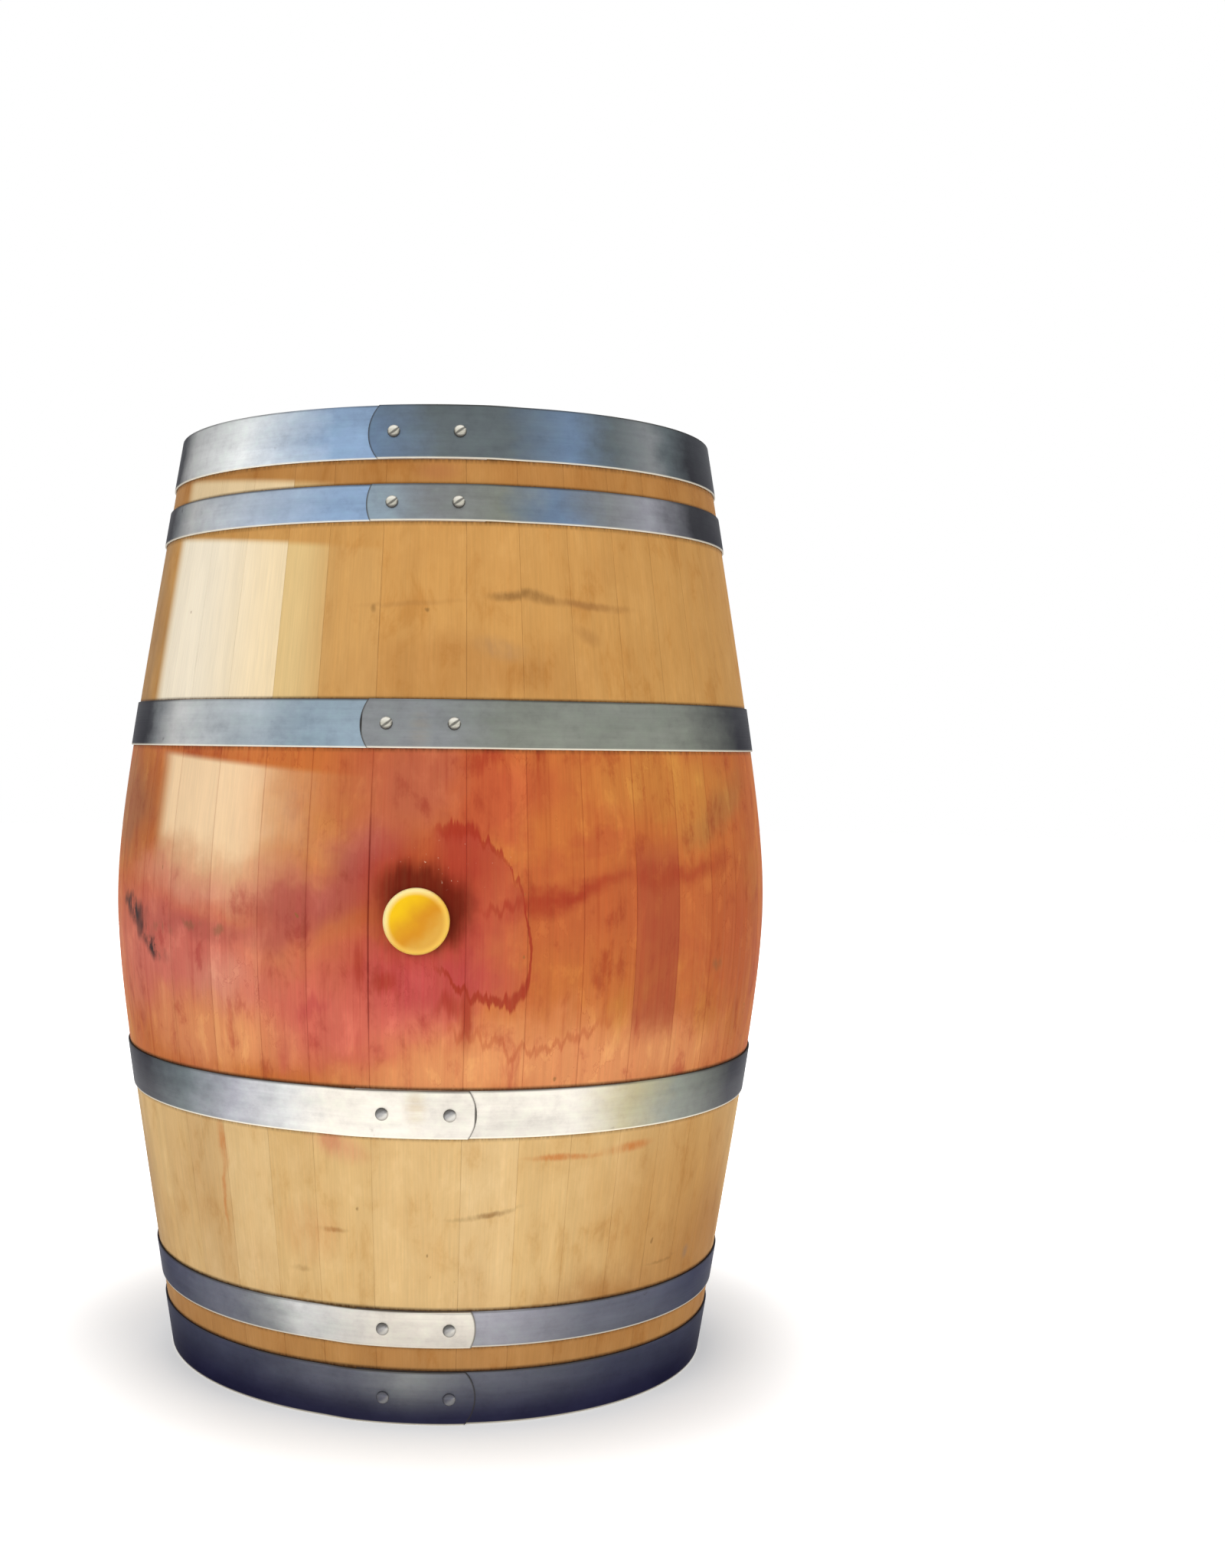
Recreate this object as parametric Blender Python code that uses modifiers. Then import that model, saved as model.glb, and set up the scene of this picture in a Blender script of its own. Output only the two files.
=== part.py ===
"""Oak wine barrel, standing on its end: staves, two jointed heads, six riveted steel hoops and a bung.

Metres, +Z up. The origin is the middle of the base, and the bung faces -Y.
What belongs to the ends of the barrel is modelled once, at the lower end, and turned over for the upper end.
"""

import math

import bmesh
import bpy
from mathutils import Matrix, Vector

# Barrel body, measured outside the wood
HEIGHT = 0.950
BILGE_RADIUS = 0.345
END_RADIUS = 0.280
BILGE_BEND = 0.095  # height above the bilge over which the bend eases into a straight taper

# Clearances between neighbouring pieces
FIT_GAP = 0.0003

# Staves: widths are taken at the bilge, going round from the bung stave
STAVE_THICKNESS = 0.027
BUNG_STAVE_WIDTH = 0.0885
RIGHT_STAVE_WIDTHS = (0.057, 0.055, 0.057, 0.054, 0.051, 0.049)
LEFT_STAVE_WIDTHS = (0.060, 0.051, 0.058, 0.060, 0.056)
BACK_STAVE_WIDTHS = (
    0.078, 0.083, 0.088, 0.080, 0.082, 0.068, 0.078, 0.083, 0.074, 0.088,
    0.071, 0.079, 0.069, 0.078, 0.069, 0.083, 0.066, 0.080, 0.073,
)
STAVE_FACET = math.radians(7.5)  # widest facet across a stave
OUTER_STATIONS = 11
INNER_STATIONS = 7

# Stave ends: the chime bevel and the croze, the groove that holds a head
CHIME_BEVEL_WIDTH = 0.012
CHIME_BEVEL_HEIGHT = 0.016
CROZE_FROM_END = 0.040
CROZE_WIDTH = 0.006
CROZE_DEPTH = 0.0055

# Heads
HEAD_BOARD_COUNT = 5
HEAD_THICKNESS = 0.022
HEAD_OUTER_BEVEL = 0.016
HEAD_INNER_BEVEL = 0.026
HEAD_RIM_SHOULDER = 0.001  # how far the thin rim shows inside the croze
HEAD_FACETS = 48
TONGUE_LENGTH = 0.006
TONGUE_THICKNESS = 0.007

# Hoops: widths are those of the flat strip
HOOP_THICKNESS = 0.0018
CHIME_HOOP_WIDTH = 0.052
QUARTER_HOOP_WIDTH = 0.035
BILGE_HOOP_WIDTH = 0.045
CHIME_HOOP_FROM_END = 0.001
CHIME_TO_QUARTER = 0.0235
BILGE_HOOP_FROM_BUNG = 0.1537
HOOP_FACETS = 54  # fewest facets in a full turn
LAP_END_RADIUS = 0.040
LAP_END_CUTS = 5

# Rivets, two through each lap: one by the outer tip of the strip and one by its covered tail
RIVET_SPACING = 0.062
RIVET_FROM_LAP_END = 0.024
RIVET_HEAD_RADIUS = 0.006
RIVET_HEAD_HEIGHT = 0.0038
RIVET_SHANK_RADIUS = 0.0025
RIVET_TAIL_RADIUS = 0.0040
RIVET_FACETS = 10
DOME_POINTS = 3

# Bung and its tapered hole
BUNG_HOLE_RADIUS = 0.026  # at the outside of the stave
BUNG_HOLE_TAPER = 0.075  # radius lost for each metre of depth
BUNG_PLUG_LENGTH = 0.034
BUNG_CAP_RADIUS = 0.030
BUNG_CAP_HEIGHT = 0.009
BUNG_CAP_ROUND = 0.003
BUNG_CAP_CROWN = 0.0008
BUNG_FACETS = 24
BUNG_ROUND_FACETS = 2

CUT_MARGIN = 0.010  # how far a cutter runs past what it cuts


# Helpers

def clear_scene():
    for old in list(bpy.data.objects):
        bpy.data.objects.remove(old, do_unlink=True)


def new_collection(name):
    collection = bpy.data.collections.new(name)
    bpy.context.scene.collection.children.link(collection)
    return collection


def principled(name, colour, roughness, metallic=0.0):
    material = bpy.data.materials.new(name)
    material.use_nodes = True
    shader = material.node_tree.nodes["Principled BSDF"]
    shader.inputs["Base Color"].default_value = (*colour, 1.0)
    shader.inputs["Roughness"].default_value = roughness
    shader.inputs["Metallic"].default_value = metallic
    return material


def add_object(name, mesh, collection, material=None, parent=None):
    obj = bpy.data.objects.new(name, mesh)
    collection.objects.link(obj)
    obj.parent = parent
    if material is not None and not mesh.materials:
        mesh.materials.append(material)
    return obj


def mesh_from(bm, name):
    mesh = bpy.data.meshes.new(name)
    bm.to_mesh(mesh)
    bm.free()
    return mesh


def outline_face(bm, points):
    """One face through points that lie in a plane."""
    return bm.faces.new([bm.verts.new(point) for point in points])


def prism(name, outline, length):
    """An outline of (x, z) points, drawn out along Y by length, half to each side."""
    bm = bmesh.new()
    face = outline_face(bm, [(x, -length / 2, z) for x, z in outline])
    drawn = bmesh.ops.extrude_face_region(bm, geom=[face])
    moved = [v for v in drawn["geom"] if isinstance(v, bmesh.types.BMVert)]
    bmesh.ops.translate(bm, vec=(0.0, length, 0.0), verts=moved)
    bmesh.ops.recalc_face_normals(bm, faces=bm.faces[:])
    return mesh_from(bm, name)


def turned(name, profile, facets):
    """A mesh turned about Z from a profile of (radius, z) points that runs from the top to the bottom."""
    bm = bmesh.new()
    verts = [bm.verts.new((radius, 0.0, z)) for radius, z in profile]
    for upper, lower in zip(verts, verts[1:]):
        bm.edges.new((upper, lower))
    obj = bpy.data.objects.new(name, mesh_from(bm, name))
    bpy.context.scene.collection.objects.link(obj)
    screw = obj.modifiers.new("turn", "SCREW")
    screw.angle = math.tau
    screw.steps = screw.render_steps = facets
    screw.use_merge_vertices = True
    screw.merge_threshold = 1e-5
    graph = bpy.context.evaluated_depsgraph_get()
    mesh = bpy.data.meshes.new_from_object(obj.evaluated_get(graph))
    mesh.name = name
    bpy.data.objects.remove(obj)
    return mesh


def shade_round(mesh, sharp=math.radians(30.0)):
    mesh.shade_smooth()
    mesh.set_sharp_from_angle(angle=sharp)


def cutter(name, mesh, matrix, parent=None):
    obj = add_object(name, mesh, CUTTERS, parent=parent)
    obj.matrix_local = matrix
    obj.hide_render = True
    obj.display_type = "WIRE"
    return obj


def boolean(obj, operation, other):
    modifier = obj.modifiers.new(other.name, "BOOLEAN")
    modifier.operation = operation
    modifier.object = other


# Shape of the body

def outer_radius(z):
    """Outside of the wood: a hyperbola, bent at the bilge and nearly straight towards the ends."""
    def rise(height):
        return math.hypot(1.0, height / BILGE_BEND) - 1.0
    return BILGE_RADIUS - (BILGE_RADIUS - END_RADIUS) * rise(z - HEIGHT / 2) / rise(HEIGHT / 2)


def inner_radius(z):
    return outer_radius(z) - STAVE_THICKNESS


def stations(low, high, count):
    """Heights from low to high, closer together where the staves bend."""
    start = math.asinh((low - HEIGHT / 2) / BILGE_BEND)
    end = math.asinh((high - HEIGHT / 2) / BILGE_BEND)
    return [
        HEIGHT / 2 + BILGE_BEND * math.sinh(start + (end - start) * i / (count - 1))
        for i in range(count)
    ]


# Staves

def stave_profile():
    """The stave's closed section in (radius, z): up the outside, over the upper end and down the inside."""
    croze_low = CROZE_FROM_END - CROZE_WIDTH / 2
    croze_high = CROZE_FROM_END + CROZE_WIDTH / 2

    def end_points(height_from_end):
        """The bevel and the croze of one end, from the end inwards; heights are measured from that end."""
        bevel = [
            (outer_radius(0.0) - STAVE_THICKNESS + CHIME_BEVEL_WIDTH, 0.0),
            (inner_radius(CHIME_BEVEL_HEIGHT), CHIME_BEVEL_HEIGHT),
        ]
        floor = inner_radius(CROZE_FROM_END) + CROZE_DEPTH
        croze = [
            (inner_radius(croze_low), croze_low),
            (floor, croze_low),
            (floor, croze_high),
            (inner_radius(croze_high), croze_high),
        ]
        return [(radius, height_from_end(z)) for radius, z in bevel + croze]

    outside = [(outer_radius(z), z) for z in stations(0.0, HEIGHT, OUTER_STATIONS)]
    inside = [
        (inner_radius(z), z)
        for z in reversed(stations(croze_high, HEIGHT - croze_high, INNER_STATIONS)[1:-1])
    ]
    upper_end = end_points(lambda z: HEIGHT - z)
    lower_end = list(reversed(end_points(lambda z: z)))
    return outside + upper_end + inside + lower_end


def stave_mesh(name, profile, start, angle):
    """The profile spun about the barrel's axis, from azimuth start, counted from -Y towards +X."""
    bm = bmesh.new()
    x, y = math.sin(start), -math.cos(start)
    outline_face(bm, [(radius * x, radius * y, z) for radius, z in profile])
    bmesh.ops.spin(
        bm,
        geom=bm.verts[:] + bm.edges[:] + bm.faces[:],
        axis=(0.0, 0.0, 1.0),
        cent=(0.0, 0.0, 0.0),
        angle=angle,
        steps=math.ceil(angle / STAVE_FACET),
    )
    bmesh.ops.recalc_face_normals(bm, faces=bm.faces[:])
    mesh = mesh_from(bm, name)
    shade_round(mesh)
    return mesh


def make_staves():
    widths = [BUNG_STAVE_WIDTH, *RIGHT_STAVE_WIDTHS, *BACK_STAVE_WIDTHS, *reversed(LEFT_STAVE_WIDTHS)]
    joint = FIT_GAP / inner_radius(0.0)  # angle of the gap, as wide as this at the narrowest radius
    profile = stave_profile()
    turn = -math.pi * BUNG_STAVE_WIDTH / sum(widths)
    for number, width in enumerate(widths):
        angle = math.tau * width / sum(widths)
        name = f"stave_{number:02d}" if number else "bung_stave"
        mesh = stave_mesh(name, profile, turn + joint / 2, angle - joint)
        stave = add_object(name, mesh, BARREL, OAK)
        turn += angle
        if not number:
            boolean(stave, "DIFFERENCE", bung_hole())


# Heads: a turned disc with a thin rim for the croze, cut into boards with tongues and grooves

def head_disc():
    floor = inner_radius(CROZE_FROM_END) + CROZE_DEPTH
    rim = floor * math.cos(STAVE_FACET / 2) - FIT_GAP
    rim_half = CROZE_WIDTH / 2 - FIT_GAP
    shoulder = rim - CROZE_DEPTH - HEAD_RIM_SHOULDER
    half = HEAD_THICKNESS / 2
    profile = [
        (0.0, half),
        (shoulder - HEAD_INNER_BEVEL, half),
        (shoulder, rim_half),
        (rim, rim_half),
        (rim, -rim_half),
        (shoulder, -rim_half),
        (shoulder - HEAD_OUTER_BEVEL, -half),
        (0.0, -half),
    ]
    return rim, turned("head_disc", profile, HEAD_FACETS)


def board_outline(left, right, has_groove, has_tongue):
    """Section of a head board across its length, with its tongue on the right and its groove on the left."""
    deep = HEAD_THICKNESS / 2 + CUT_MARGIN
    tongue = TONGUE_THICKNESS / 2
    groove = tongue + FIT_GAP
    low_left, low_right = (left, -deep), (right, -deep)
    high_right, high_left = (right, deep), (left, deep)
    tongue_points = [
        (right, -tongue),
        (right + TONGUE_LENGTH, -tongue),
        (right + TONGUE_LENGTH, tongue),
        (right, tongue),
    ]
    groove_floor = left + TONGUE_LENGTH
    groove_points = [
        (left, groove),
        (groove_floor, groove),
        (groove_floor, -groove),
        (left, -groove),
    ]
    return [
        low_left,
        low_right,
        *(tongue_points if has_tongue else []),
        high_right,
        high_left,
        *(groove_points if has_groove else []),
    ]


def make_head(end, parent):
    rim, disc_mesh = head_disc()
    seat = Matrix.Translation((0.0, 0.0, CROZE_FROM_END))
    disc = cutter(f"{end}_head_disc", disc_mesh, seat, parent)
    length = 2 * (rim + CUT_MARGIN)
    pitch = 2 * rim / HEAD_BOARD_COUNT
    for number in range(HEAD_BOARD_COUNT):
        first, last = number == 0, number == HEAD_BOARD_COUNT - 1
        left = -rim + number * pitch + (-CUT_MARGIN if first else FIT_GAP / 2)
        right = -rim + (number + 1) * pitch + (CUT_MARGIN if last else -FIT_GAP / 2)
        name = f"{end}_head_board_{number + 1}"
        mesh = prism(name, board_outline(left, right, not first, not last), length)
        board = add_object(name, mesh, BARREL, OAK, parent)
        board.matrix_local = seat
        boolean(board, "INTERSECT", disc)


# Hoops and rivets

class HoopCone:
    """The cone that a hoop of a given width lies on, starting at a height above the lower end."""

    def __init__(self, low, width):
        self.low = low
        self.width = width
        slope = (outer_radius(low + width) - outer_radius(low)) / width
        self.lean = math.asin(slope)
        self.high = low + width * math.cos(self.lean)
        self.low_radius = outer_radius(low)
        self.high_radius = outer_radius(self.high)
        samples = [low + (self.high - low) * i / 8 for i in range(9)]
        bulge = max(outer_radius(z) - self.at(z) for z in samples)
        stand_off = bulge + FIT_GAP
        widen = 1.0 / math.cos(math.pi / HOOP_FACETS)
        self.low_radius = self.low_radius * widen + stand_off
        self.high_radius = self.high_radius * widen + stand_off

    def at(self, z):
        """Inside radius at a height."""
        share = (z - self.low) / (self.high - self.low)
        return self.low_radius + (self.high_radius - self.low_radius) * share

    def middle(self):
        return (self.low + self.high) / 2


LAP_STEP = HOOP_THICKNESS + FIT_GAP  # how far the outer end stands off the inner end
LAP_LENGTH = RIVET_SPACING + 2 * RIVET_FROM_LAP_END


def hoop_azimuths(cone):
    """Where the strip's facets meet, from -Y towards +X: under the lap, round the barrel and over the lap.

    The lap is centred on the bung. Its two layers have the same facets, so that they lie flat together.
    """
    facet = math.tau / HOOP_FACETS
    half_lap = LAP_LENGTH / 2 / cone.at(cone.middle())
    lap_facets = math.ceil(2 * half_lap / facet)
    round_facets = math.ceil((math.tau - 2 * half_lap) / facet)
    lap = [half_lap * (2 * i / lap_facets - 1) for i in range(lap_facets + 1)]
    free = (math.tau - 2 * half_lap) / round_facets
    body = [half_lap + free * i for i in range(1, round_facets)]
    return lap + body, [math.tau + azimuth for azimuth in lap]


def lap_end_back(across):
    """How far the rounded end lies behind the tip, at a distance from the middle of the strip's width."""
    arc = max(LAP_END_RADIUS, abs(across))
    return arc - math.sqrt(arc * arc - across * across)


def hoop_strip(name, cone):
    """A strip one facet wide: it starts under its own outer end, runs round and climbs onto itself."""
    first_turn, over_lap = hoop_azimuths(cone)
    azimuths = first_turn + over_lap
    last = len(azimuths) - 1
    bm = bmesh.new()
    bmesh.ops.create_grid(bm, x_segments=last, y_segments=1, size=0.5)
    tip = max(bm.edges, key=lambda edge: sum(vert.co.x for vert in edge.verts))
    bmesh.ops.bisect_edges(bm, edges=[tip], cuts=LAP_END_CUTS)
    for vert in bm.verts:
        column = round((vert.co.x + 0.5) * last)
        height = cone.middle() + (cone.high - cone.low) * vert.co.y
        radius = cone.at(height) + (0.0 if column < len(first_turn) else LAP_STEP)
        back = lap_end_back(vert.co.y * cone.width) if column == last else 0.0
        azimuth = azimuths[column] - back / radius
        vert.co = (radius * math.sin(azimuth), -radius * math.cos(azimuth), height)
    mesh = mesh_from(bm, name)
    shade_round(mesh)
    return mesh


def rivet_profile(grow):
    """Domed head, shank and flared tail, about the outer face of the lap; grow widens it into a hole."""
    depth = 2 * HOOP_THICKNESS + FIT_GAP
    inner_layer = HOOP_THICKNESS + FIT_GAP
    if grow:
        return [
            (0.0, CUT_MARGIN),
            (RIVET_SHANK_RADIUS + grow, CUT_MARGIN),
            (RIVET_SHANK_RADIUS + grow, -inner_layer),
            (RIVET_TAIL_RADIUS + grow, -depth),
            (RIVET_TAIL_RADIUS + grow, -depth - CUT_MARGIN),
            (0.0, -depth - CUT_MARGIN),
        ]
    dome = [
        (
            RIVET_HEAD_RADIUS * math.sin(math.pi / 2 * i / DOME_POINTS),
            FIT_GAP + RIVET_HEAD_HEIGHT * math.cos(math.pi / 2 * i / DOME_POINTS),
        )
        for i in range(DOME_POINTS + 1)
    ]
    return [
        *dome,
        (RIVET_SHANK_RADIUS, FIT_GAP),
        (RIVET_SHANK_RADIUS, -inner_layer),
        (RIVET_TAIL_RADIUS, -depth),
        (0.0, -depth),
    ]


def rivet_place(cone, side):
    """Matrix with +Z along the outward normal of the hoop, on the outer face of its lap."""
    height = cone.middle()
    radius = cone.at(height) + LAP_STEP + HOOP_THICKNESS / math.cos(cone.lean)
    azimuth = side * RIVET_SPACING / 2 / radius
    out = Vector((math.sin(azimuth), -math.cos(azimuth), 0.0))
    normal = out * math.cos(cone.lean) - Vector((0.0, 0.0, math.sin(cone.lean)))
    turn = normal.to_track_quat("Z", "Y").to_matrix().to_4x4()
    return Matrix.Translation((radius * out.x, radius * out.y, height)) @ turn


def make_hoop(name, low, width, parent):
    cone = HoopCone(low, width)
    hoop = add_object(f"{name}_hoop", hoop_strip(name, cone), BARREL, STEEL, parent)
    wall = hoop.modifiers.new("strip", "SOLIDIFY")
    wall.thickness = HOOP_THICKNESS
    wall.offset = 1.0
    wall.use_even_offset = True
    rivet_mesh = turned("rivet", rivet_profile(0.0), RIVET_FACETS)
    shade_round(rivet_mesh)
    hole_mesh = turned("rivet_hole", rivet_profile(FIT_GAP), RIVET_FACETS)
    for side, strip_end in ((-1, "tail"), (1, "tip")):
        place = rivet_place(cone, side)
        boolean(hoop, "DIFFERENCE", cutter(f"{name}_{strip_end}_hole", hole_mesh, place, parent))
        rivet = add_object(f"{name}_{strip_end}_rivet", rivet_mesh, BARREL, RIVET_STEEL, parent)
        rivet.matrix_local = place


def make_end(end, parent):
    """The hoops, rivets and head of one end."""
    quarter_low = CHIME_HOOP_FROM_END + CHIME_HOOP_WIDTH + CHIME_TO_QUARTER
    bilge_low = HEIGHT / 2 - BILGE_HOOP_FROM_BUNG - BILGE_HOOP_WIDTH
    make_hoop(f"{end}_chime", CHIME_HOOP_FROM_END, CHIME_HOOP_WIDTH, parent)
    make_hoop(f"{end}_quarter", quarter_low, QUARTER_HOOP_WIDTH, parent)
    make_hoop(f"{end}_bilge", bilge_low, BILGE_HOOP_WIDTH, parent)
    make_head(end, parent)


# Bung: its own Z axis points out of the barrel, and starts on the outside of the wood

BUNG_PLACE = (
    Matrix.Translation((0.0, -BILGE_RADIUS, HEIGHT / 2)) @ Matrix.Rotation(math.radians(90.0), 4, "X")
)


def hole_radius(depth):
    return BUNG_HOLE_RADIUS - BUNG_HOLE_TAPER * depth


def bung_hole():
    depth = STAVE_THICKNESS + CUT_MARGIN
    profile = [
        (0.0, CUT_MARGIN),
        (hole_radius(-CUT_MARGIN), CUT_MARGIN),
        (hole_radius(depth), -depth),
        (0.0, -depth),
    ]
    return cutter("bung_hole", turned("bung_hole", profile, BUNG_FACETS), BUNG_PLACE)


def make_bung():
    seat = FIT_GAP
    top = seat + BUNG_CAP_HEIGHT
    corner = BUNG_CAP_RADIUS - BUNG_CAP_ROUND

    def rounded(first, last, centre_z):
        """Quarter round of the cap's edge."""
        shares = [i / BUNG_ROUND_FACETS for i in range(BUNG_ROUND_FACETS + 1)]
        angles = [math.radians(first + (last - first) * share) for share in shares]
        return [
            (corner + BUNG_CAP_ROUND * math.cos(a), centre_z + BUNG_CAP_ROUND * math.sin(a))
            for a in angles
        ]

    profile = [
        (0.0, top + BUNG_CAP_CROWN),
        *rounded(90.0, 0.0, top - BUNG_CAP_ROUND),
        *rounded(0.0, -90.0, seat + BUNG_CAP_ROUND),
        (hole_radius(-seat) - FIT_GAP, seat),
        (hole_radius(BUNG_PLUG_LENGTH) - FIT_GAP, -BUNG_PLUG_LENGTH),
        (0.0, -BUNG_PLUG_LENGTH),
    ]
    mesh = turned("bung", profile, BUNG_FACETS)
    shade_round(mesh)
    bung = add_object("bung", mesh, BARREL, SILICONE)
    bung.matrix_world = BUNG_PLACE


# Build

clear_scene()
BARREL = new_collection("oak_wine_barrel")
CUTTERS = new_collection("cutters")
OAK = principled("oak", (0.66, 0.42, 0.20), 0.6)
STEEL = principled("galvanised_steel", (0.50, 0.53, 0.57), 0.38, 1.0)
RIVET_STEEL = principled("rivet_steel", (0.66, 0.65, 0.60), 0.25, 1.0)
SILICONE = principled("yellow_silicone", (0.90, 0.62, 0.08), 0.35)

lower_end = bpy.data.objects.new("lower_end", None)
upper_end = bpy.data.objects.new("upper_end", None)
upper_end.matrix_world = (
    Matrix.Translation((0.0, 0.0, HEIGHT)) @ Matrix.Rotation(math.pi, 4, "Y")
)
for empty in (lower_end, upper_end):
    BARREL.objects.link(empty)

make_staves()
make_end("lower", lower_end)
make_end("upper", upper_end)
make_bung()
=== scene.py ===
# %% [markdown]
# # An oak wine barrel, dressed over its frame
#
# This lesson gives a plain solid model of a wine barrel its looks. The solids already have their real sizes
# and places: thirty-one staves, two heads of five boards, six riveted steel hoops and one bung. Here each of
# them is made again as a fine surface, in the same place, and gets the finish that years in a cellar leave:
# oak with grain and spilt wine, dull zinc, bright rivets and a bung of yellow silicone.
#
# The frame is loaded first. The boxes of its solids give the heights of the hoops and the size of the heads.

# %% Load the frame
import math
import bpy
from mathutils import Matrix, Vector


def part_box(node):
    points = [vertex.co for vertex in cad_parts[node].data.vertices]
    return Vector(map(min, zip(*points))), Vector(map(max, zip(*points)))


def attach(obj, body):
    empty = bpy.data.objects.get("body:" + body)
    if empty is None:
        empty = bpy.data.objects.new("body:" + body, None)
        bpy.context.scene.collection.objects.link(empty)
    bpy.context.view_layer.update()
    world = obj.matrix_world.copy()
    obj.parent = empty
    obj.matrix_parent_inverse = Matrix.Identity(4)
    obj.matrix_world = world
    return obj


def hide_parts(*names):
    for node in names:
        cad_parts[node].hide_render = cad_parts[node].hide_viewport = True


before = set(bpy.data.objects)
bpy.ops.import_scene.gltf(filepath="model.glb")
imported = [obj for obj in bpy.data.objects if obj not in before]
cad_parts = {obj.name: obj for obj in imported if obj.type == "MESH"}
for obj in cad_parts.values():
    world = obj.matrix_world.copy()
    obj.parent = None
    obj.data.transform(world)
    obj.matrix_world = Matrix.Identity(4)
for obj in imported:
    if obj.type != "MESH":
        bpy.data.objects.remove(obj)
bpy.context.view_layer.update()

from types import SimpleNamespace

import bmesh
import bpy
from mathutils import Matrix, Vector

# %% [markdown]
# ## Wires
#
# Most of what follows is built from nodes: Geometry Nodes for the shapes and shader nodes for the finishes.
# Long formulas are hard to read when every sign is a node made by hand. So one small class wraps an output
# socket, and each plus, minus or times on it adds the Math node that does it.

# %% A socket that understands arithmetic
class Wire:
    """One output socket of a node tree."""

    def __init__(self, tree, socket):
        self.tree = tree
        self.socket = socket

    def math(self, operation, *others):
        return add(self.tree, "ShaderNodeMath", [self, *others], operation=operation)

    def __add__(self, other):
        return self.math("ADD", other)

    def __sub__(self, other):
        return self.math("SUBTRACT", other)

    def __rsub__(self, other):
        return add(self.tree, "ShaderNodeMath", [other, self], operation="SUBTRACT")

    def __mul__(self, other):
        return self.math("MULTIPLY", other)

    def __truediv__(self, other):
        return self.math("DIVIDE", other)

    def __pow__(self, other):
        return self.math("POWER", other)

    def __abs__(self):
        return self.math("ABSOLUTE")

    __radd__ = __add__
    __rmul__ = __mul__

    def least(self, other):
        return self.math("MINIMUM", other)

    def most(self, other):
        return self.math("MAXIMUM", other)

    def ramp(self, start, end):
        """Smoothly from 0 at start to 1 at end, whichever of the two is the larger."""
        feeds = {"Value": self, "From Min": start, "From Max": end}
        return add(self.tree, "ShaderNodeMapRange", feeds, interpolation_type="SMOOTHSTEP")

    def other(self, name):
        """Another output of the same node."""
        return Wire(self.tree, self.socket.node.outputs[name])


def add(tree, kind, feeds=(), out=0, **settings):
    """Adds a node, feeds its inputs by place or by name, and returns one of its outputs."""
    node = tree.nodes.new(kind)
    for name, value in settings.items():
        setattr(node, name, value)
    for place, value in feeds.items() if isinstance(feeds, dict) else enumerate(feeds):
        if isinstance(value, Wire):
            tree.links.new(value.socket, node.inputs[place])
        else:
            node.inputs[place].default_value = value
    return Wire(tree, node.outputs[out])


def combine(x, y, z=0.0):
    tree = next(part.tree for part in (x, y, z) if isinstance(part, Wire))
    return add(tree, "ShaderNodeCombineXYZ", [x, y, z])


def split(vector):
    x = add(vector.tree, "ShaderNodeSeparateXYZ", [vector])
    return x, x.other("Y"), x.other("Z")


print("wires are ready")

# %% [markdown]
# ## The rule of the barrel
#
# A cooper bends every stave over the same curve, so one formula gives the outside of the wood at any height.
# It is a hyperbola: bent at the bilge, the fat middle, and nearly straight towards the ends. One function
# gives it for numbers and for wires alike, and the staves, the hoops and the rivets follow it. Round the
# barrel, places are counted as an azimuth, from the bung at -Y towards +X.

# %% The outside of the wood
HEIGHT = 0.950
BILGE_RADIUS = 0.345
END_RADIUS = 0.280
BILGE_BEND = 0.095
STAVE_THICKNESS = 0.027


def outer_radius(z):
    """Works for a number and for a Wire."""
    def rise(height):
        return (1.0 + (height / BILGE_BEND) ** 2) ** 0.5 - 1.0
    full = (1.0 + (HEIGHT / 2 / BILGE_BEND) ** 2) ** 0.5 - 1.0
    return BILGE_RADIUS - (BILGE_RADIUS - END_RADIUS) / full * rise(abs(z - HEIGHT / 2))


def azimuth(point):
    return math.atan2(point.x, -point.y)


print("radius at the end, a quarter up and the bilge, in mm:")
print([round(outer_radius(HEIGHT * share) * 1000, 1) for share in (0.0, 0.25, 0.5)])

# %% [markdown]
# ## Growing a mesh from a tree
#
# Geometry Nodes suit a barrel: staves, hoops and rivets repeat, and each follows a rule. Each kind of piece
# has one tree, built in code with named inputs. Every tree ends the same way: it is shaded smooth but for its
# sharp bends, instances are made real, and the material is set if there is one.

# %% Building a geometry tree
SHARP_BEND = math.radians(35.0)


def geometry_tree(name, **inputs):
    """A new tree with named inputs; gives the tree and a wire for each input."""
    tree = bpy.data.node_groups.new(name, "GeometryNodeTree")
    tree.interface.new_socket("Geometry", in_out="OUTPUT", socket_type="NodeSocketGeometry")
    for label, kind in inputs.items():
        tree.interface.new_socket(label, in_out="INPUT", socket_type=f"NodeSocket{kind}")
    node = tree.nodes.new("NodeGroupInput")
    return tree, {label: Wire(tree, node.outputs[label]) for label in inputs}


def close_tree(geometry, material=None):
    """The end of every tree: shading, real instances, then the material."""
    tree = geometry.tree
    smooth = add(tree, "GeometryNodeSetShadeSmooth", [geometry], domain="FACE")
    bend = add(tree, "GeometryNodeInputMeshEdgeAngle")
    sharp = bend.math("GREATER_THAN", SHARP_BEND)
    feeds = {"Geometry": smooth, "Selection": sharp, "Shade Smooth": False}
    done = add(tree, "GeometryNodeSetShadeSmooth", feeds, domain="EDGE")
    done = add(tree, "GeometryNodeRealizeInstances", [done])
    if material:
        done = add(tree, "GeometryNodeSetMaterial", {"Geometry": done, "Material": material})
    end = tree.nodes.new("NodeGroupOutput")
    tree.links.new(done.socket, end.inputs[0])


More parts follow.
